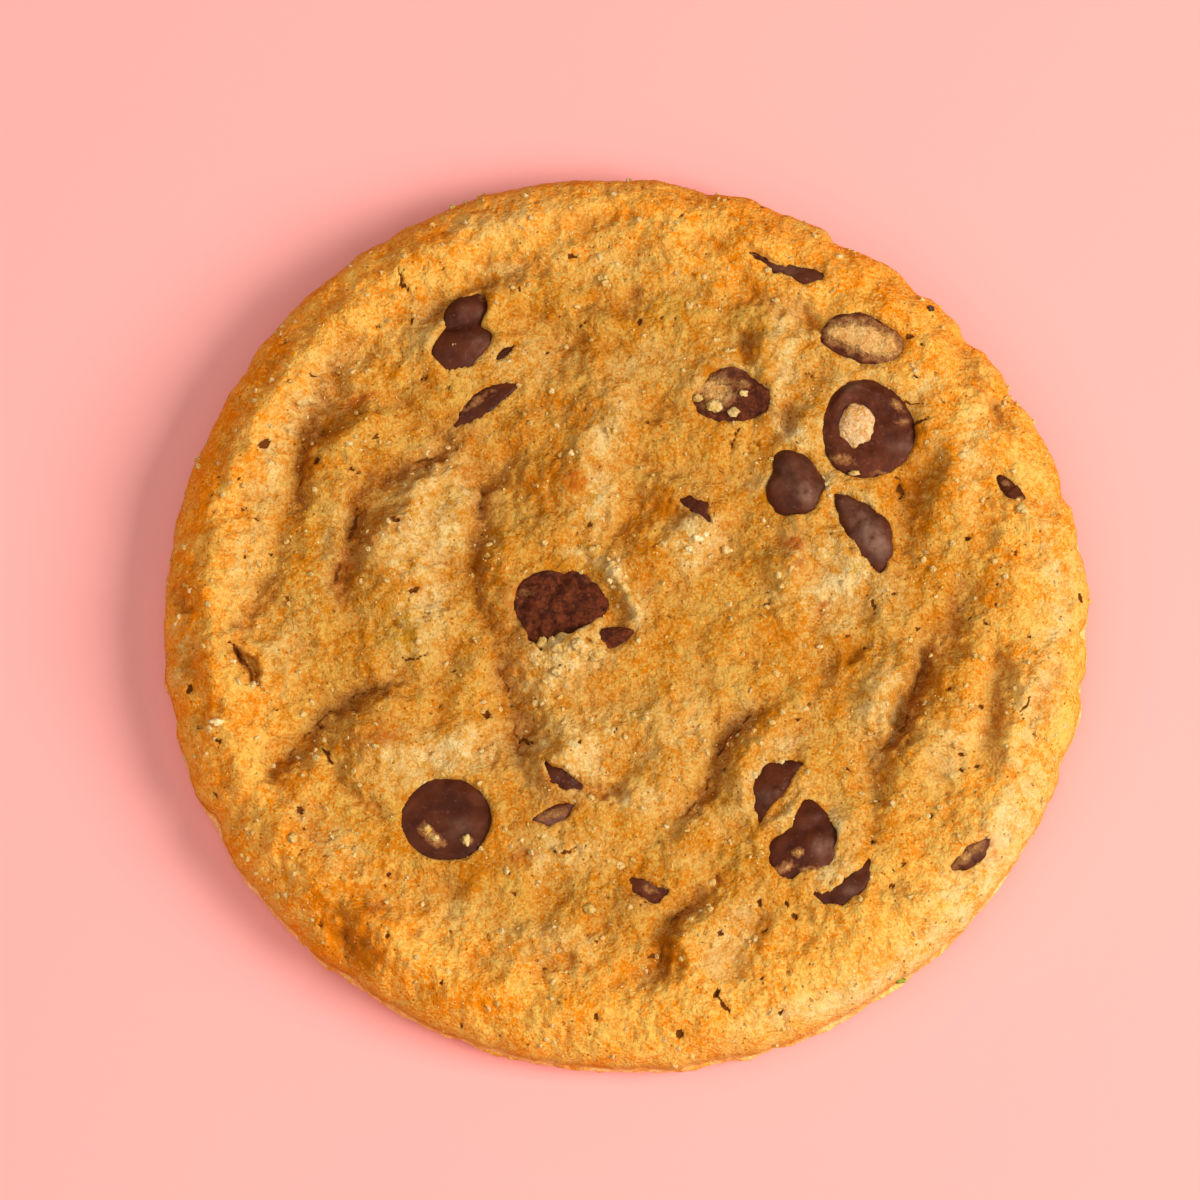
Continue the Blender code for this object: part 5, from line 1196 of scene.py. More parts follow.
def mottling(tree, place):
    """Noise of all sizes from 3 mm down to a grain, about 0.5 and never far from it."""
    return sized_noise(tree, place, 3.0, 5.0, 0.85)


GRAIN_SIZE = 0.22


def lightness(tree, place):
    """How far each place of the crust goes from its deep shade to its light one."""
    shade, _ = grains(tree, place, GRAIN_SIZE)
    # the amber patches darken the crust, partly as painted shade in grooves
    # the paler rim lightens the crust, partly as painted light towards the lamp
    return summed(tree, 0.5, (mottling(tree, place), 0.5, 2.9), (shade, 0.5, 0.9),
                  (attribute(tree, "fine"), 0.6, 1.2), (attribute(tree, "ledge"), 0.5, -0.15),
                  (attribute(tree, "fair"), 0.0, 0.5),
                  (broken(tree, place, attribute(tree, "amber_and_shade"), 1.8), 0.0, -0.55))


def shaded_dough(tree, place):
    """The crust's colour: pairs of shades laid over each other, then mixed by the lightness."""
    layers = ((attribute(tree, "middle"), MIDDLE_CRUST),
              (times(tree, broken(tree, place, attribute(tree, "tan"), 2.5), 0.85), TAN_CRUST),
              (times(tree, broken(tree, place, attribute(tree, "olive"), 2.5), 0.7), OLIVE_CRUST),
              (broken(tree, place, attribute(tree, "toast_and_bounce"), 2.0), TOASTED_AND_BOUNCE_LIT),
              (times(tree, broken(tree, place, attribute(tree, "pale"), 1.5), 0.9), PALE_CRUMB),
              # painted shade: darker tan where the dough lies below its surroundings
              (ranged(tree, attribute(tree, "wide"), 0.5, 0.34, 0.0, 0.45), TAN_CRUST),
              # painted shade at the feet of folds
              (times(tree, broken(tree, place, attribute(tree, "fold_shade"), 1.2), 0.8), FOLD_SHADE_BROWN))
    deep, light = RIM
    for share, shades in layers:
        deep, light = mixed(tree, share, deep, shades.deep), mixed(tree, share, light, shades.light)
    return mixed(tree, lightness(tree, place), deep, light)


def grained(tree, place, deep, light):
    """A plainer crumb: the same noise and grains between two shades."""
    shade, _ = grains(tree, place, GRAIN_SIZE)
    share = summed(tree, 0.5, (mottling(tree, place), 0.5, 3.2), (shade, 0.5, 0.9))
    return mixed(tree, share, deep, light)


print("pairs of shades ready")

# %% [markdown]
# Stains, and pores and pinholes painted dark, partly as painted shade in the holes, come on top of the
# shades, and the side and the sole have plainer shades of their own. A crust of crumbs is dull, and the
# little light that goes into it comes out redder.

# %% The baked dough's material
PINHOLE_SHADE_BROWN = (0.30, 0.075, 0.004)
PINHOLE_SPACING = 1.15
SAND_SIZE = 0.34


def pinholes(tree, place):
    """The smallest bubbles, which burst in the oven: round and about 0.2 mm across, painted dark as the shade
    inside each hole, with some brown.
    """
    cells = add_node(tree, "ShaderNodeTexVoronoi", {"Vector": place, "Scale": 1.0 / (PINHOLE_SPACING * MM)})
    away = summed(tree, 0.0, (cells.outputs["Distance"], 0.0, 1.0),
                  (sized_noise(tree, place, 0.3), 0.5, 0.06))
    return ranged(tree, away, 0.13, 0.08, 0.0, 0.85)


def dough_colour(tree, place):
    """The crust with its stains, pores and pinholes, the side, the sole, and what lies under a chip."""
    colour = shaded_dough(tree, place)
    stain = broken(tree, place, attribute(tree, "stain"), 0.8, 0.7)
    colour = mixed(tree, times(tree, stain, 0.8), colour, RUST)
    # pores, cracks and creases painted dark: partly brown crust, partly painted shade
    pit = mathed(tree, "ADD", attribute(tree, "pore"),
                 ranged(tree, sized_noise(tree, place, 0.4, 3.0, 0.6), 0.3, 0.7, -0.2, 0.2))
    colour = mixed(tree, ranged(tree, pit, 0.30, 0.62), colour, PORE_BROWN_AND_SHADE)
    # painted shade of the pinholes
    colour = mixed(tree, pinholes(tree, place), colour, PINHOLE_SHADE_BROWN)
    colour = mixed(tree, broken(tree, place, attribute(tree, "side"), 1.5), colour,
                   grained(tree, place, *SIDE_CRUST))
    colour = mixed(tree, attribute(tree, "sole"), colour, grained(tree, place, *SOLE))
    return mixed(tree, ranged(tree, attribute(tree, "shown"), 0.25, 0.6), colour, COCOA)


def dough_surface(tree, place):
    """Crumbs and sand as bumps, calmer on the side."""
    rough_part = mathed(tree, "SUBTRACT", 1.0, times(tree, attribute(tree, "side"), 0.3))
    _, away = grains(tree, place, SAND_SIZE)
    sand = times(tree, mathed(tree, "SUBTRACT", 1.0, away), rough_part)
    crumbs = times(tree, sized_noise(tree, place, 0.8, 4.0, 0.7), rough_part)
    return bumped(tree, sand, 0.10, 0.85, bumped(tree, crumbs, 0.42, 0.85))


def baked_dough_material():
    made, tree, shader, place = new_material("baked dough")
    tree.links.new(dough_colour(tree, place), shader.inputs["Base Color"])
    dullness = ranged(tree, sized_noise(tree, place, 1.2), 0.3, 0.7, 0.5, 0.8)
    tree.links.new(dullness, shader.inputs["Roughness"])
    shader.inputs["Specular IOR Level"].default_value = 0.015
    shader.inputs["Subsurface Weight"].default_value = 0.06
    shader.inputs["Subsurface Radius"].default_value = (1.0, 0.35, 0.12)
    shader.inputs["Subsurface Scale"].default_value = 1.0 * MM
    tree.links.new(dough_surface(tree, place), shader.inputs["Normal"])
    return made


dough.data.materials.append(baked_dough_material())
print("baked dough material:", len(dough.data.materials[0].node_tree.nodes), "nodes")

# %% [markdown]
# Chocolate that has melted and set again is dark and satin on its smooth parts and grey-purple where the
# cocoa butter has bloomed. Dough that stuck to it stays as a film. The film and the bloom are painted on each
# chip's corners, and noise breaks them up. The bloom's pale grey also stands for painted sheen where the lamp
# falls on some chips.

# %% The chocolate's material
CHOCOLATE = (0.052, 0.010, 0.003)
WARM_CHOCOLATE = (0.100, 0.021, 0.006)
# The pale grey of bloom, also used for painted sheen and for dust
GREY_OF_BLOOM_AND_SHEEN = (0.27, 0.135, 0.085)
DRY_RED = (0.210, 0.042, 0.012)
DRY_DARK = (0.050, 0.012, 0.006)
THIN_FILM = Shades((0.26, 0.085, 0.022), (0.44, 0.190, 0.065))
THICK_FILM = Shades((0.56, 0.230, 0.045), (0.76, 0.440, 0.150))


def chocolate_colour(tree, place, dry):
    """Melted chocolate under bloom and painted sheen, dry flakes and dust."""
    warmth = ranged(tree, sized_noise(tree, place, 2.2, 3.0), 0.35, 0.65)
    colour = mixed(tree, warmth, CHOCOLATE, WARM_CHOCOLATE)
    bloom_and_sheen = times(tree, broken(tree, place, attribute(tree, "bloom_and_sheen"), 0.9), 0.7)
    colour = mixed(tree, bloom_and_sheen, colour, GREY_OF_BLOOM_AND_SHEEN)
    flaking = ranged(tree, sized_noise(tree, place, 0.7, 4.0, 0.7), 0.38, 0.62)
    crumbled = mixed(tree, flaking, DRY_DARK, DRY_RED)
    colour = mixed(tree, times(tree, dry, 0.75), colour, crumbled)
    dust = ranged(tree, sized_noise(tree, place, 0.35, 2.0), 0.62, 0.78, 0.0, 0.25)
    return mixed(tree, dust, colour, GREY_OF_BLOOM_AND_SHEEN)


def film_coat(tree, place):
    """How thickly dough coats the chocolate: the painted film, broken up by noise."""
    filmed = mathed(tree, "MINIMUM", times(tree, attribute(tree, "film"), 3.0), 1.0)
    breaks = ranged(tree, sized_noise(tree, place, 0.8, 4.0, 0.7), 0.3, 0.7, -0.35, 0.35)
    return mathed(tree, "ADD", attribute(tree, "film"), times(tree, filmed, breaks))


def chocolate_surface(tree, place, dry, film):
    """Small pits, the flakes of dry chocolate and the crumbs of the film, as bumps."""
    pits = bumped(tree, sized_noise(tree, place, 0.45, 3.0, 0.6), 0.08, 0.7)
    flakes = times(tree, dry, sized_noise(tree, place, 0.8, 4.0, 0.75))
    crumbly = times(tree, film, sized_noise(tree, place, 0.5, 3.0, 0.7))
    return bumped(tree, crumbly, 0.35, 0.9, bumped(tree, flakes, 0.55, 1.0, pits))


def chocolate_material():
    made, tree, shader, place = new_material("dark chocolate")
    dry, coat = attribute(tree, "dry"), film_coat(tree, place)
    thin, thick = ranged(tree, coat, 0.15, 0.45, 0.0, 0.85), ranged(tree, coat, 0.45, 0.95)
    colour = mixed(tree, thin, chocolate_colour(tree, place, dry), grained(tree, place, *THIN_FILM))
    colour = mixed(tree, thick, colour, grained(tree, place, *THICK_FILM))
    tree.links.new(colour, shader.inputs["Base Color"])
    shader.inputs["Specular IOR Level"].default_value = 0.09
    gloss = ranged(tree, sized_noise(tree, place, 1.0, 3.0), 0.3, 0.7, 0.34, 0.55)
    matte = mathed(tree, "MAXIMUM", ranged(tree, coat, 0.1, 0.3), dry)
    tree.links.new(mixed_value(tree, matte, gloss, 0.85), shader.inputs["Roughness"])
    tree.links.new(chocolate_surface(tree, place, dry, thick), shader.inputs["Normal"])
    return made


chocolate = chocolate_material()
print("chocolate material:", len(chocolate.node_tree.nodes), "nodes")

# %% [markdown]
# Only the cap of a chip shows, and its knobs, waists and ridges tell one chip from the next. They are small
# ovals added to the cap, like the mounds of the dough. More ovals say where a film of dough clings to the
# chocolate and where cocoa butter has bloomed on it, and the bloom's ovals also carry painted sheen where the
# lamp falls on a chip.

# %% The forms, films, bloom and painted sheen of the chips
CAP_CELLS = 44
CAP_CROWDING = 0.85  # under 1, the cap's rings crowd less towards its edge
CAP_BORDER = 0.15  # share of the way out over which forms and lumps fade at the edge
UNDER_RINGS = ((0.97, 0.18), (0.9, 0.40), (0.75, 0.65), (0.5, 0.86), (0.22, 0.97))  # share out, share down
CHIP_GROW = 0.15  # how far a chip reaches under the ragged lip
CHIP_LUMPS = {"chip_centre": 0.42, "chip_crumbly": 0.22, "chip_ring": 0.10, "chip_veiled": 0.10}
CHIP_LUMPS_ELSE = 0.06
CHIP_LUMP_LENGTH, CHIP_GRAIN_LENGTH = 1.3, 0.6
CHIP_DRYNESS = {"chip_centre": 1.0, "chip_nub": 1.0, "chip_crumbly": 0.7, "chip_pit_front": 0.6,
                "chip_ring": 0.25, "chip_veiled": 0.3, "chip_shard_front": 0.4, "chip_veiled_right": 0.4}
FILM_THICKNESS, FULLEST_FILM = 0.16, 1.3
CHIP_FORMS = ovals(
    (21.8, 21.4, 1, 0.5, 20, 0.6), (20.6, 20.4, 1.1, 0.45, 60, 0.4), (23.4, 21.1, 1.1, 0.4, -25, 0.4),
    (22.3, 17.8, 2.1, 1.7, 80, -0.25), (25.8, 17, 0.8, 2.5, 95, 0.2), (24.2, 20.4, 1.3, 0.8, -30, 0.25),
    (19.9, 15.5, 1, 1.5, 60, 0.15), (23, 14.5, 2.5, 0.8, 0, 0.2), (-15, 25.6, 2.5, 1.2, 10, 0.35),
    (-15.4, 27.7, 2.3, 0.4, 15, -0.45), (-14.9, 29.9, 1.3, 1, 20, 0.3), (16.6, 12.1, 1.7, 1.1, -60, 0.7),
    (17.7, 11.1, 0.7, 0.6, 0, 0.35), (15.6, 14.3, 1.3, 1, 60, 0.2), (22.5, 8.4, 3.4, 0.9, -50, 0.5),
    (23.7, 6.5, 1.1, 0.8, 0, 0.2), (16.6, -23.1, 1.3, 1.5, 0, 0.25), (18.1, -20.6, 1.5, 0.6, 30, -0.3),
    (19.8, -20, 0.8, 0.5, 40, 0.2), (18.7, -22.4, 0.8, 0.8, 0, 0.2), (14.5, -17.1, 2.1, 1.1, 60, 0.3),
    (-6.3, 1.4, 2.5, 1.7, 0, 0.25), (-7.7, 2.9, 1, 0.8, 0, 0.25), (-4.4, 0.2, 1, 0.8, 0, 0.25),
    (-8.7, -0.7, 0.8, 0.6, 0, 0.2), (-16.9, -20.1, 2.9, 2.7, 0, -0.12), (-0.6, -2.5, 0.8, 0.7, 0, 0.3),
)
FILMS = ovals(
    (22.8, 26.4, 3, 1.4, -15, 1.3), (24.7, 25.6, 1.9, 1.1, -20, 0.8), (20.2, 26.9, 1.1, 0.8, -15, 0.6),
    (8.7, 20.9, 1.7, 1.2, 10, 1.2), (7.9, 22.1, 1.9, 0.9, 20, 0.6), (11.3, 22, 1, 0.5, -10, 0.4),
    (-17.4, -24.8, 1.9, 0.5, -8, 1.2), (-13.2, -23.7, 1.1, 0.5, 25, 1.1),
    (-18.5, -21.3, 0.9, 0.6, -50, 0.8), (-17.5, -22.2, 0.8, 0.5, -30, 0.7),
    (-14.8, -22.1, 0.4, 0.6, 70, 0.8), (25.9, 19.8, 0.8, 0.4, -40, 0.8), (20.8, 14.4, 1.1, 0.5, -10, 0.7),
    (26.4, 18.2, 0.4, 0.8, 90, 0.4), (24.2, 13.1, 1.3, 0.4, 0, 0.4), (-2.9, 3.5, 1.9, 0.6, -35, 0.8),
    (-6.3, 4.1, 1.9, 0.4, 5, 0.5), (-9.3, 1.6, 0.5, 1, 80, 0.4), (16.3, -23.3, 0.5, 0.4, 0, 0.9),
    (15, -24.7, 1, 0.5, 20, 0.7), (17.7, -25.1, 1, 0.5, 0, 0.6), (31.8, -23.7, 1.1, 0.6, 30, 0.9),
    (30.3, -24.7, 0.8, 0.6, 0, 0.8), (33.2, -22.7, 0.8, 0.5, 30, 0.5), (-6.3, -19.5, 1.1, 0.5, 20, 0.5),
    (-7.7, -19.8, 0.8, 0.4, 0, 0.6), (2.5, -26.7, 0.8, 0.5, 0, 0.5), (-13.4, 30.6, 0.5, 0.8, 60, 0.4),
    (37.7, 10.4, 0.6, 0.5, 0, 0.7), (36.2, 12.1, 0.4, 0.4, 0, 0.5), (-13.9, 20.4, 2.3, 0.5, 30, 0.4),
    (12.5, 34.7, 1.3, 0.4, 20, 0.4),
)
# Bloom of cocoa butter, and painted sheen where the lamp falls on the cone, the drop and other chips
BLOOM_AND_SHEEN = ovals(
    (17.4, 10.9, 1, 0.8, -40, 0.9), (23.8, 6.1, 1.3, 1.1, 0, 0.6), (23, 7.7, 2.1, 0.8, -50, 0.3),
    (18.7, -22.8, 0.8, 0.8, 0, 0.8), (-14.9, 28.9, 1.1, 0.8, 0, 0.15), (-13.9, 26.2, 1.3, 0.6, 0, 0.2),
    (21.8, 21.8, 0.9, 0.7, 20, 0.5), (26.4, 15.8, 0.6, 1.7, 90, 0.4), (-6.3, -20, 1.9, 0.7, 20, 0.8),
    (32.6, -22.9, 1.3, 0.9, 30, 0.8), (2.3, -26.4, 1.1, 0.6, 0, 0.3), (15.6, 33.3, 1.5, 0.5, 0, 0.35),
    (-15.3, -21, 1.5, 1.1, 0, 0.25), (13.7, -18.1, 1.1, 0.8, 0, 0.3), (21, -26.9, 0.6, 0.4, 0, 0.6),
    (10.4, 23.8, 1.3, 0.8, 0, 0.6), (-17.2, 31, 0.6, 0.4, 0, 0.3), (16.2, 12.9, 2.1, 1.9, 0, 0.25),
    (22.7, 8, 3.2, 1.3, -50, 0.3),
)
print("on the chips:", len(CHIP_FORMS), "forms,", len(FILMS), "films,", len(BLOOM_AND_SHEEN), "blooms")

# %% [markdown]
# The cap of a chip is a square grid carried onto its outline, so that it has no pole in sight, and rings
# under it close the teardrop inside the dough. A long chip is made the same way: its outline is found by
# walking outwards from its middle along every heading until its edge is passed.

# %% The chips in the dough
def sliver_outline(chip, headings):
    """A long chip's middle and its reach along each heading."""
    spine = np.array(chip.spine)
    middle_x, middle_y = spine[:, :2].mean(axis=0)
    steps = np.linspace(0.0, 1.0, 160) * (np.ptp(spine[:, 0]) + np.ptp(spine[:, 1]) + 2.0)
    x = middle_x + steps[None, :] * np.cos(headings)[:, None]
    y = middle_y + steps[None, :] * np.sin(headings)[:, None]
    inside = inside_sliver(x.ravel(), y.ravel(), chip).reshape(x.shape) > 0
    last = inside.shape[1] - 1 - np.argmax(inside[:, ::-1], axis=1)
    reach = np.where(inside.any(axis=1), steps[last], 0.2)
    return middle_x, middle_y, np.maximum(reach, 0.25)


def chip_outline(chip, headings):
    if isinstance(chip, Pebble):
        return chip.x, chip.y, radius_at(chip.radii, headings)
    return sliver_outline(chip, headings)


def chip_cap(x, y, out, chip):
    """Heights of the cap at places that lie a share out from its middle, and the film there."""
    cap = chip.crown * (1.0 - out ** PEBBLE_POWER) ** (1.0 / PEBBLE_POWER)
    base = chip_plane(x, y, chip) - chip.crown
    inner = smooth_step((1.0 - out) / CAP_BORDER)
    forms = sum(mound_height(x, y, form) for form in CHIP_FORMS)
    lumps = CHIP_LUMPS.get(chip.name, CHIP_LUMPS_ELSE)
    lumpy = 2 * lumps * noise_field(x, y, CHIP_LUMP_LENGTH, 15.0) \
        + lumps * noise_field(x, y, CHIP_GRAIN_LENGTH, 16.0)
    film = patch_sum(x, y, FILMS, FULLEST_FILM)
    return base + cap + inner * (forms + lumpy + FILM_THICKNESS * np.minimum(film, 1.0)), film


def chip_mesh(chip, cells):
    u, v, quads, rim = square_grid(cells)
    share, heading = square_to_disc(u, v)
    middle_x, middle_y, reach = chip_outline(chip, heading)
    reach = reach + CHIP_GROW
    out = np.sin(share * math.pi / 2) ** CAP_CROWDING
    x, y = middle_x + out * reach * np.cos(heading), middle_y + out * reach * np.sin(heading)
    z, film = chip_cap(x, y, out, chip)
    corners, faces = [np.stack([x, y, z], axis=1)], quads.tolist()
    ring, first = rim, len(x)
    for out_share, down in UNDER_RINGS:
        ring_x = middle_x + out_share * (x[rim] - middle_x)
        ring_y = middle_y + out_share * (y[rim] - middle_y)
        corners.append(np.stack([ring_x, ring_y, z[rim] - down * chip.depth], axis=1))
        new = first + np.arange(len(rim))
        faces += ring_faces(ring, new)
        ring, first = new, first + len(rim)
    faces.append(ring[::-1].tolist())
    corners = np.concatenate(corners)
    painted = {"film": np.zeros(len(corners)), "bloom_and_sheen": np.zeros(len(corners)),
               "dry": np.full(len(corners), CHIP_DRYNESS.get(chip.name, 0.0))}
    painted["film"][:len(x)] = film
    painted["bloom_and_sheen"][:len(x)] = patch_sum(x, y, BLOOM_AND_SHEEN)
    return corners, faces, painted


for chip in CHIPS:
    cells = CAP_CELLS if isinstance(chip, Pebble) else CAP_CELLS // 2
    piece = mesh_object(chip.name.replace("chip", "chocolate"), *chip_mesh(chip, cells))
    piece.data.materials.append(chocolate)
    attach(piece, "root")
    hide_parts(chip.name)
print("chips made:", len(CHIPS))

# %% [markdown]
# A crumb is a broken lump of baked dough. Each starts as a ball of faces whose corners are pushed in and out
# by noise, flattened, and set down on what is under it.

# %% The crumb on the ring-shaped chip
def crumb_mesh(x, y, z, half_x, half_y, half_z, seed, rounds=24, brokenness=1.0):
    """A lump of crumb in millimetres."""
    corners, faces = [], []
    rings = rounds // 2
    for row in range(rings + 1):
        upright = math.cos(math.pi * row / rings)
        level = math.sin(math.pi * row / rings)
        for column in range(rounds):
            turn = 2 * math.pi * column / rounds
            side = Vector((level * math.cos(turn), level * math.sin(turn), upright))
            push = 1.0 + brokenness * (0.55 * noise.noise(side * 1.4 + Vector((seed, 0, 0)))
                                       + 0.30 * noise.noise(side * 3.5 + Vector((seed, 3, 0))))
            corners.append((x + half_x * push * side.x, y + half_y * push * side.y,
                            z + half_z * push * side.z))
    for row in range(rings):
        for column in range(rounds):
            after = (column + 1) % rounds
            faces.append([row * rounds + column, (row + 1) * rounds + column,
                          (row + 1) * rounds + after, row * rounds + after])
    return corners, faces


RING_CRUMB_HALVES = (1.6, 2.1, 0.6)
RING_CRUMB_FORWARD, RING_CRUMB_SUNK = 0.3, 0.1
PINK_CRUMB = Shades((0.62, 0.270, 0.060), (0.82, 0.540, 0.270))


def crumb_material(name, shades):
    made, tree, shader, place = new_material(name)
    tree.links.new(grained(tree, place, *shades), shader.inputs["Base Color"])
    shader.inputs["Roughness"].default_value = 0.75
    shader.inputs["Specular IOR Level"].default_value = 0.04
    tree.links.new(bumped(tree, sized_noise(tree, place, 0.45, 3.0, 0.7), 0.30, 0.9), shader.inputs["Normal"])
    return made


pale_crumb = crumb_material("pale crumb", PALE_CRUMB)
pink_crumb = crumb_material("pink crumb", PINK_CRUMB)
ring_chip = next(chip for chip in PEBBLES if chip.name == "chip_ring")
ring_top = float(chip_plane(np.array([CRUMB_ON_RING.x]), np.array([CRUMB_ON_RING.y]), ring_chip)[0])
ring_crumb = mesh_object("crumb_on_the_ring", *crumb_mesh(
    CRUMB_ON_RING.x, CRUMB_ON_RING.y - RING_CRUMB_FORWARD, ring_top - RING_CRUMB_SUNK, *RING_CRUMB_HALVES,
    seed=4.0, rounds=40, brokenness=0.45))
ring_crumb.data.materials.append(pink_crumb)
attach(ring_crumb, "root")
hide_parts("crumb_on_ring")
print("crumb on the ring made")

# %% [markdown]
# Sugar that didn't melt sparkles in the crust, and loose crumbs cling to it. Both are far too many to place
# by hand, so a tree of Geometry Nodes scatters them over the dough. It draws places with a fixed seed, more
# of them where the mesh says that the crust is loose, sets a small lump on each, turns, sizes and roughens
# it, and makes all of them real. The result is then kept as a plain mesh.

# %% The scatter of small lumps
LEAST_STRETCH, MOST_STRETCH = (0.7, 0.7, 0.5), (1.3, 1.3, 0.9)  # of a lump along its three axes
FULL_TURN = (6.28, 6.28, 6.28)
LUMP_WAVE = 0.35  # of the noise that roughens the lumps


def scatter_inputs(tree):
    """The tree's named inputs and its output: each scatter sets the inputs for itself."""
    sockets = {"Crust": ("NodeSocketGeometry", None), "Density": ("NodeSocketFloat", 0.0),
               "Smallest": ("NodeSocketFloat", 0.0), "Largest": ("NodeSocketFloat", 0.0),
               "Roughness": ("NodeSocketFloat", 0.0), "Rounds": ("NodeSocketInt", 1),
               "Seed": ("NodeSocketInt", 0)}
    for name, (kind, value) in sockets.items():
        socket = tree.interface.new_socket(name, in_out="INPUT", socket_type=kind)
        if value is not None:
            socket.default_value = value
    tree.interface.new_socket("Lumps", in_out="OUTPUT", socket_type="NodeSocketGeometry")
    return tree.nodes.new("NodeGroupInput").outputs


def roughened(tree, geometry, reach):
    """The lumps with their corners moved by noise, so that none is round."""
    wave = add_node(tree, "ShaderNodeTexNoise", {"Scale": 1.0 / (LUMP_WAVE * MM), "Detail": 1.0})
    middled = add_node(tree, "ShaderNodeVectorMath", {0: wave.outputs["Color"], 1: (0.5, 0.5, 0.5)},
                       operation="SUBTRACT")
    push = add_node(tree, "ShaderNodeVectorMath", {0: middled.outputs[0], "Scale": reach},
                    operation="SCALE")
    return add_node(tree, "GeometryNodeSetPosition",
                    {"Geometry": geometry, "Offset": push.outputs[0]}).outputs[0]


def scatter_tree(material):
    tree = bpy.data.node_groups.new("scattered lumps", "GeometryNodeTree")
    given = scatter_inputs(tree)
    loose = add_node(tree, "GeometryNodeInputNamedAttribute", {"Name": "loose"}, data_type="FLOAT")
    crowd = times(tree, given["Density"], loose.outputs["Attribute"])
    places = add_node(tree, "GeometryNodeDistributePointsOnFaces",
                      {"Mesh": given["Crust"], "Density": crowd, "Seed": given["Seed"]})
    lump = add_node(tree, "GeometryNodeMeshIcoSphere", {"Radius": 1.0, "Subdivisions": given["Rounds"]})
    size = add_node(tree, "FunctionNodeRandomValue",
                    {2: given["Smallest"], 3: given["Largest"], "Seed": given["Seed"]}, data_type="FLOAT")
    stretch = add_node(tree, "FunctionNodeRandomValue",
                       {0: LEAST_STRETCH, 1: MOST_STRETCH, "Seed": given["Seed"]}, data_type="FLOAT_VECTOR")
    scale = add_node(tree, "ShaderNodeVectorMath", {0: stretch.outputs[0], "Scale": size.outputs[1]},
                     operation="SCALE")
    turn = add_node(tree, "FunctionNodeRandomValue",
                    {0: (0.0, 0.0, 0.0), 1: FULL_TURN, "Seed": given["Seed"]}, data_type="FLOAT_VECTOR")
    lumps = add_node(tree, "GeometryNodeInstanceOnPoints",
                     {"Points": places.outputs["Points"], "Instance": lump.outputs["Mesh"],
                      "Rotation": turn.outputs[0], "Scale": scale.outputs[0]})
    real = add_node(tree, "GeometryNodeRealizeInstances", {"Geometry": lumps.outputs["Instances"]})
    rough = roughened(tree, real.outputs[0], given["Roughness"])
    dressed = add_node(tree, "GeometryNodeSetMaterial", {"Geometry": rough})
    dressed.inputs["Material"].default_value = material
    output = tree.nodes.new("NodeGroupOutput")
    tree.links.new(dressed.outputs[0], output.inputs["Lumps"])
    return tree


def scattered(name, material, slot, **numbers):
    """A piece of many small lumps on the dough, as a plain mesh."""
    piece = bpy.data.objects.new(name, dough.data.copy())
    bpy.context.scene.collection.objects.link(piece)
    tree = scatter_tree(material)
    modifier = piece.modifiers.new("scatter", "NODES")
    modifier.node_group = tree
    for socket in tree.interface.items_tree:
        if socket.name in numbers:
            modifier[socket.identifier] = numbers[socket.name]
    graph = bpy.context.evaluated_depsgraph_get()
    lumps = bpy.data.meshes.new_from_object(piece.evaluated_get(graph))
    piece.modifiers.clear()
    piece.data = lumps
    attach(piece, "root")
    print(name + ":", len(lumps.polygons), "faces")
    return piece


SUGAR = Shades((0.86, 0.52, 0.17), (0.90, 0.68, 0.36))


def sugar_material():
    made, tree, shader, place = new_material("unmelted sugar")
    shade, _ = grains(tree, place, 0.5)
    tree.links.new(mixed(tree, shade, *SUGAR), shader.inputs["Base Color"])
    shader.inputs["Roughness"].default_value = 0.25
    shader.inputs["Specular IOR Level"].default_value = 0.4
    return made


sugar = sugar_material()
scattered("sugar_grains", sugar, "crumb", Density=2.2e5, Smallest=0.05 * MM, Largest=0.11 * MM,
          Roughness=0.0, Rounds=1, Seed=3)
scattered("small_crumbs", pale_crumb, "crumb", Density=1.6e5, Smallest=0.14 * MM, Largest=0.34 * MM,
          Roughness=0.35 * MM, Rounds=3, Seed=8)

# %% [markdown]
# A few crumbs are large enough to be noticed one by one, and the edge carries two specks: a green one, from
# something else that lay on the tray, and a burnt one.

# %% The crumbs and specks placed one by one
Bit = namedtuple("Bit", "x y half_x half_y half_z")


def bits(*rows):
    return tuple(Bit(*row) for row in rows)


PALE_BITS = bits(
    (9.7, 6.1, 0.67, 0.48, 0.48), (14.5, 30.2, 0.38, 0.29, 0.29), (37.7, 9.6, 0.57, 0.48, 0.38),
    (-3.3, -28.7, 0.57, 0.48, 0.38), (-31, -22.2, 0.48, 0.48, 0.38), (-18.4, -21.1, 0.38, 0.38, 0.29),
    (-17.7, -21.9, 0.38, 0.29, 0.29), (-14.8, -22.1, 0.38, 0.57, 0.38), (16.3, -23.3, 0.29, 0.29, 0.19),
    (1.3, -3.1, 0.29, 0.29, 0.19), (-6.3, -6, 0.48, 0.48, 0.19), (21.8, 13.1, 0.48, 0.29, 0.29),
    (8.2, 5.3, 0.38, 0.29, 0.29), (11.3, 20.9, 0.48, 0.38, 0.38), (7, 20.5, 0.48, 0.38, 0.38),
    (8.6, 19.7, 0.76, 0.57, 0.48), (10.4, 19.1, 0.57, 0.48, 0.38), (-6.3, -4, 0.57, 0.48, 0.38),
    (-4.4, -3.7, 0.57, 0.57, 0.48), (-7.7, -3.3, 0.48, 0.48, 0.38), (-2.7, -4.4, 0.67, 0.57, 0.38),
    (32, 14.8, 0.48, 0.38, 0.29), (-26.1, 15.8, 0.38, 0.29, 0.29),
)
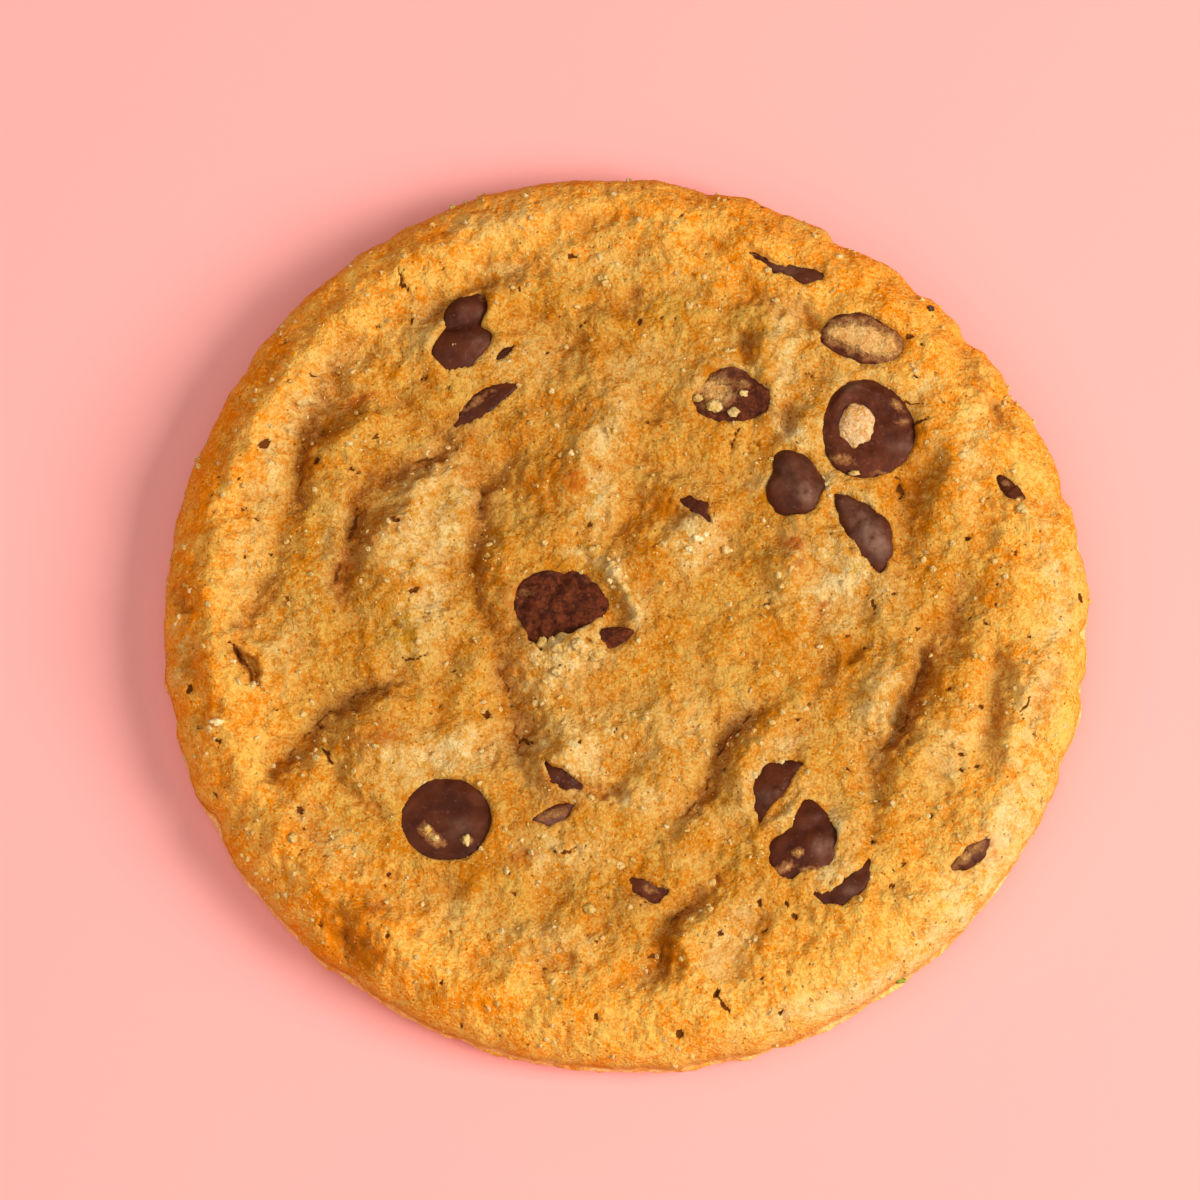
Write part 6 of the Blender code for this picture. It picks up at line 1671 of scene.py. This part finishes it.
SUGAR_BITS = bits(
    (6.9, 6.7, 0.57, 0.38, 0.38), (-38.2, -11.1, 0.67, 0.38, 0.19), (-5, 15, 0.29, 0.29, 0.19),
    (6.1, 5.7, 0.38, 0.29, 0.29), (7.7, 7.1, 0.29, 0.29, 0.19), (-1.3, 2.6, 0.29, 0.29, 0.19),
    (-0.6, 3.5, 0.29, 0.19, 0.19), (-41, 1.8, 0.29, 0.29, 0.19), (-36.8, -5.2, 0.29, 0.19, 0.19),
    (-16.3, 25.6, 0.29, 0.19, 0.19), (18.5, -3.5, 0.29, 0.19, 0.19),
)
BURNT_BITS = bits((29.3, 29.7, 0.35, 0.3, 0.3))
GREEN_BITS = bits((25.9, -34.8, 0.57, 0.29, 0.29))


def surface_height(x, y):
    """Height of the dough's fine surface at a place, read from its nearest corner."""
    top = corners[:(TOP_CELLS + 1) ** 2]
    return float(top[np.argmin(np.hypot(top[:, 0] - x, top[:, 1] - y)), 2])


def chip_height(x, y):
    """Height of the chips' caps at a place, or below everything where there is none."""
    spot_x, spot_y = np.array([x]), np.array([y])
    under = [chip for chip in CHIPS if inside_chip(spot_x, spot_y, chip)[0] > 0]
    heights = [float(chip_plane(spot_x, spot_y, chip)[0]) for chip in under]
    return max(heights, default=-1.0)


def placed_bits(name, bits, material):
    all_corners, all_faces = [], []
    for number, bit in enumerate(bits):
        z = max(surface_height(bit.x, bit.y), chip_height(bit.x, bit.y)) + 0.2 * bit.half_z
        bit_corners, bit_faces = crumb_mesh(bit.x, bit.y, z, bit.half_x, bit.half_y, bit.half_z,
                                            9.0 + 3.7 * number, 16)
        all_faces += [[corner + len(all_corners) for corner in face] for face in bit_faces]
        all_corners += bit_corners
    piece = mesh_object(name, all_corners, all_faces)
    piece.data.materials.append(material)
    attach(piece, "root")
    return piece


def speck_material(name, light, dark):
    made, tree, shader, place = new_material(name)
    shade = ranged(tree, sized_noise(tree, place, 0.5, 3.0), 0.35, 0.65)
    tree.links.new(mixed(tree, shade, light, dark), shader.inputs["Base Color"])
    shader.inputs["Roughness"].default_value = 0.7
    tree.links.new(bumped(tree, sized_noise(tree, place, 0.3, 3.0), 0.1, 0.8), shader.inputs["Normal"])
    return made


placed_bits("pale_bits", PALE_BITS, pale_crumb)
placed_bits("sugar_bits", SUGAR_BITS, sugar)
burnt = speck_material("burnt speck", (0.10, 0.025, 0.010), (0.04, 0.012, 0.006))
placed_bits("burnt_speck", BURNT_BITS, burnt)
green = speck_material("green speck", (0.36, 0.36, 0.03), (0.20, 0.24, 0.015))
placed_bits("green_speck", GREEN_BITS, green)
print("placed bits:", len(PALE_BITS + SUGAR_BITS + BURNT_BITS + GREEN_BITS))

# %% [markdown]
# The table is a plain pale sheet. The light is one large soft lamp from the right, a weaker and larger one
# from the left, and a pale sky. A large lamp gives the soft shadow that falls to the left of the cookie, and
# its low place brings out the folds.

# %% The table and the light
TABLE_COLOUR = (0.97, 0.39, 0.345)
TABLE_SIZE = 2000.0
KEY_PLACE = (600.0, -150.0, 530.0)
KEY_SIZE = 430.0
KEY_POWER = 7.9
FILL_PLACE = (-240.0, -160.0, 640.0)
FILL_SIZE = 800.0
FILL_POWER = 2.5
SKY_COLOUR = (1.0, 0.97, 0.95)
SKY_STRENGTH = 0.25


def add_table():
    half = TABLE_SIZE / 2
    table = mesh_object("table", [(-half, -half, 0), (half, -half, 0), (half, half, 0), (-half, half, 0)],
                        [[0, 1, 2, 3]])
    made, tree, shader, place = new_material("pale table")
    shader.inputs["Base Color"].default_value = (*TABLE_COLOUR, 1.0)
    shader.inputs["Roughness"].default_value = 0.9
    tree.links.new(bumped(tree, sized_noise(tree, place, 1.5, 3.0), 0.04, 0.5), shader.inputs["Normal"])
    table.data.materials.append(made)
    return table


def add_lamp(name, place, size, power):
    lamp = bpy.data.lights.new(name, "AREA")
    lamp.size = size * MM
    lamp.energy = power
    holder = bpy.data.objects.new(name, lamp)
    holder.location = Vector(place) * MM
    holder.rotation_euler = (-Vector(place)).to_track_quat("-Z", "Y").to_euler()
    bpy.context.scene.collection.objects.link(holder)
    return holder


def add_sky():
    sky = bpy.data.worlds.new("sky")
    sky.use_nodes = True
    background = sky.node_tree.nodes["Background"]
    background.inputs["Color"].default_value = (*SKY_COLOUR, 1.0)
    background.inputs["Strength"].default_value = SKY_STRENGTH
    bpy.context.scene.world = sky


table = add_table()
add_lamp("key lamp", KEY_PLACE, KEY_SIZE, KEY_POWER)
add_lamp("fill lamp", FILL_PLACE, FILL_SIZE, FILL_POWER)
add_sky()
bpy.context.scene.view_settings.view_transform = "Standard"
print("table, lamps and sky ready")
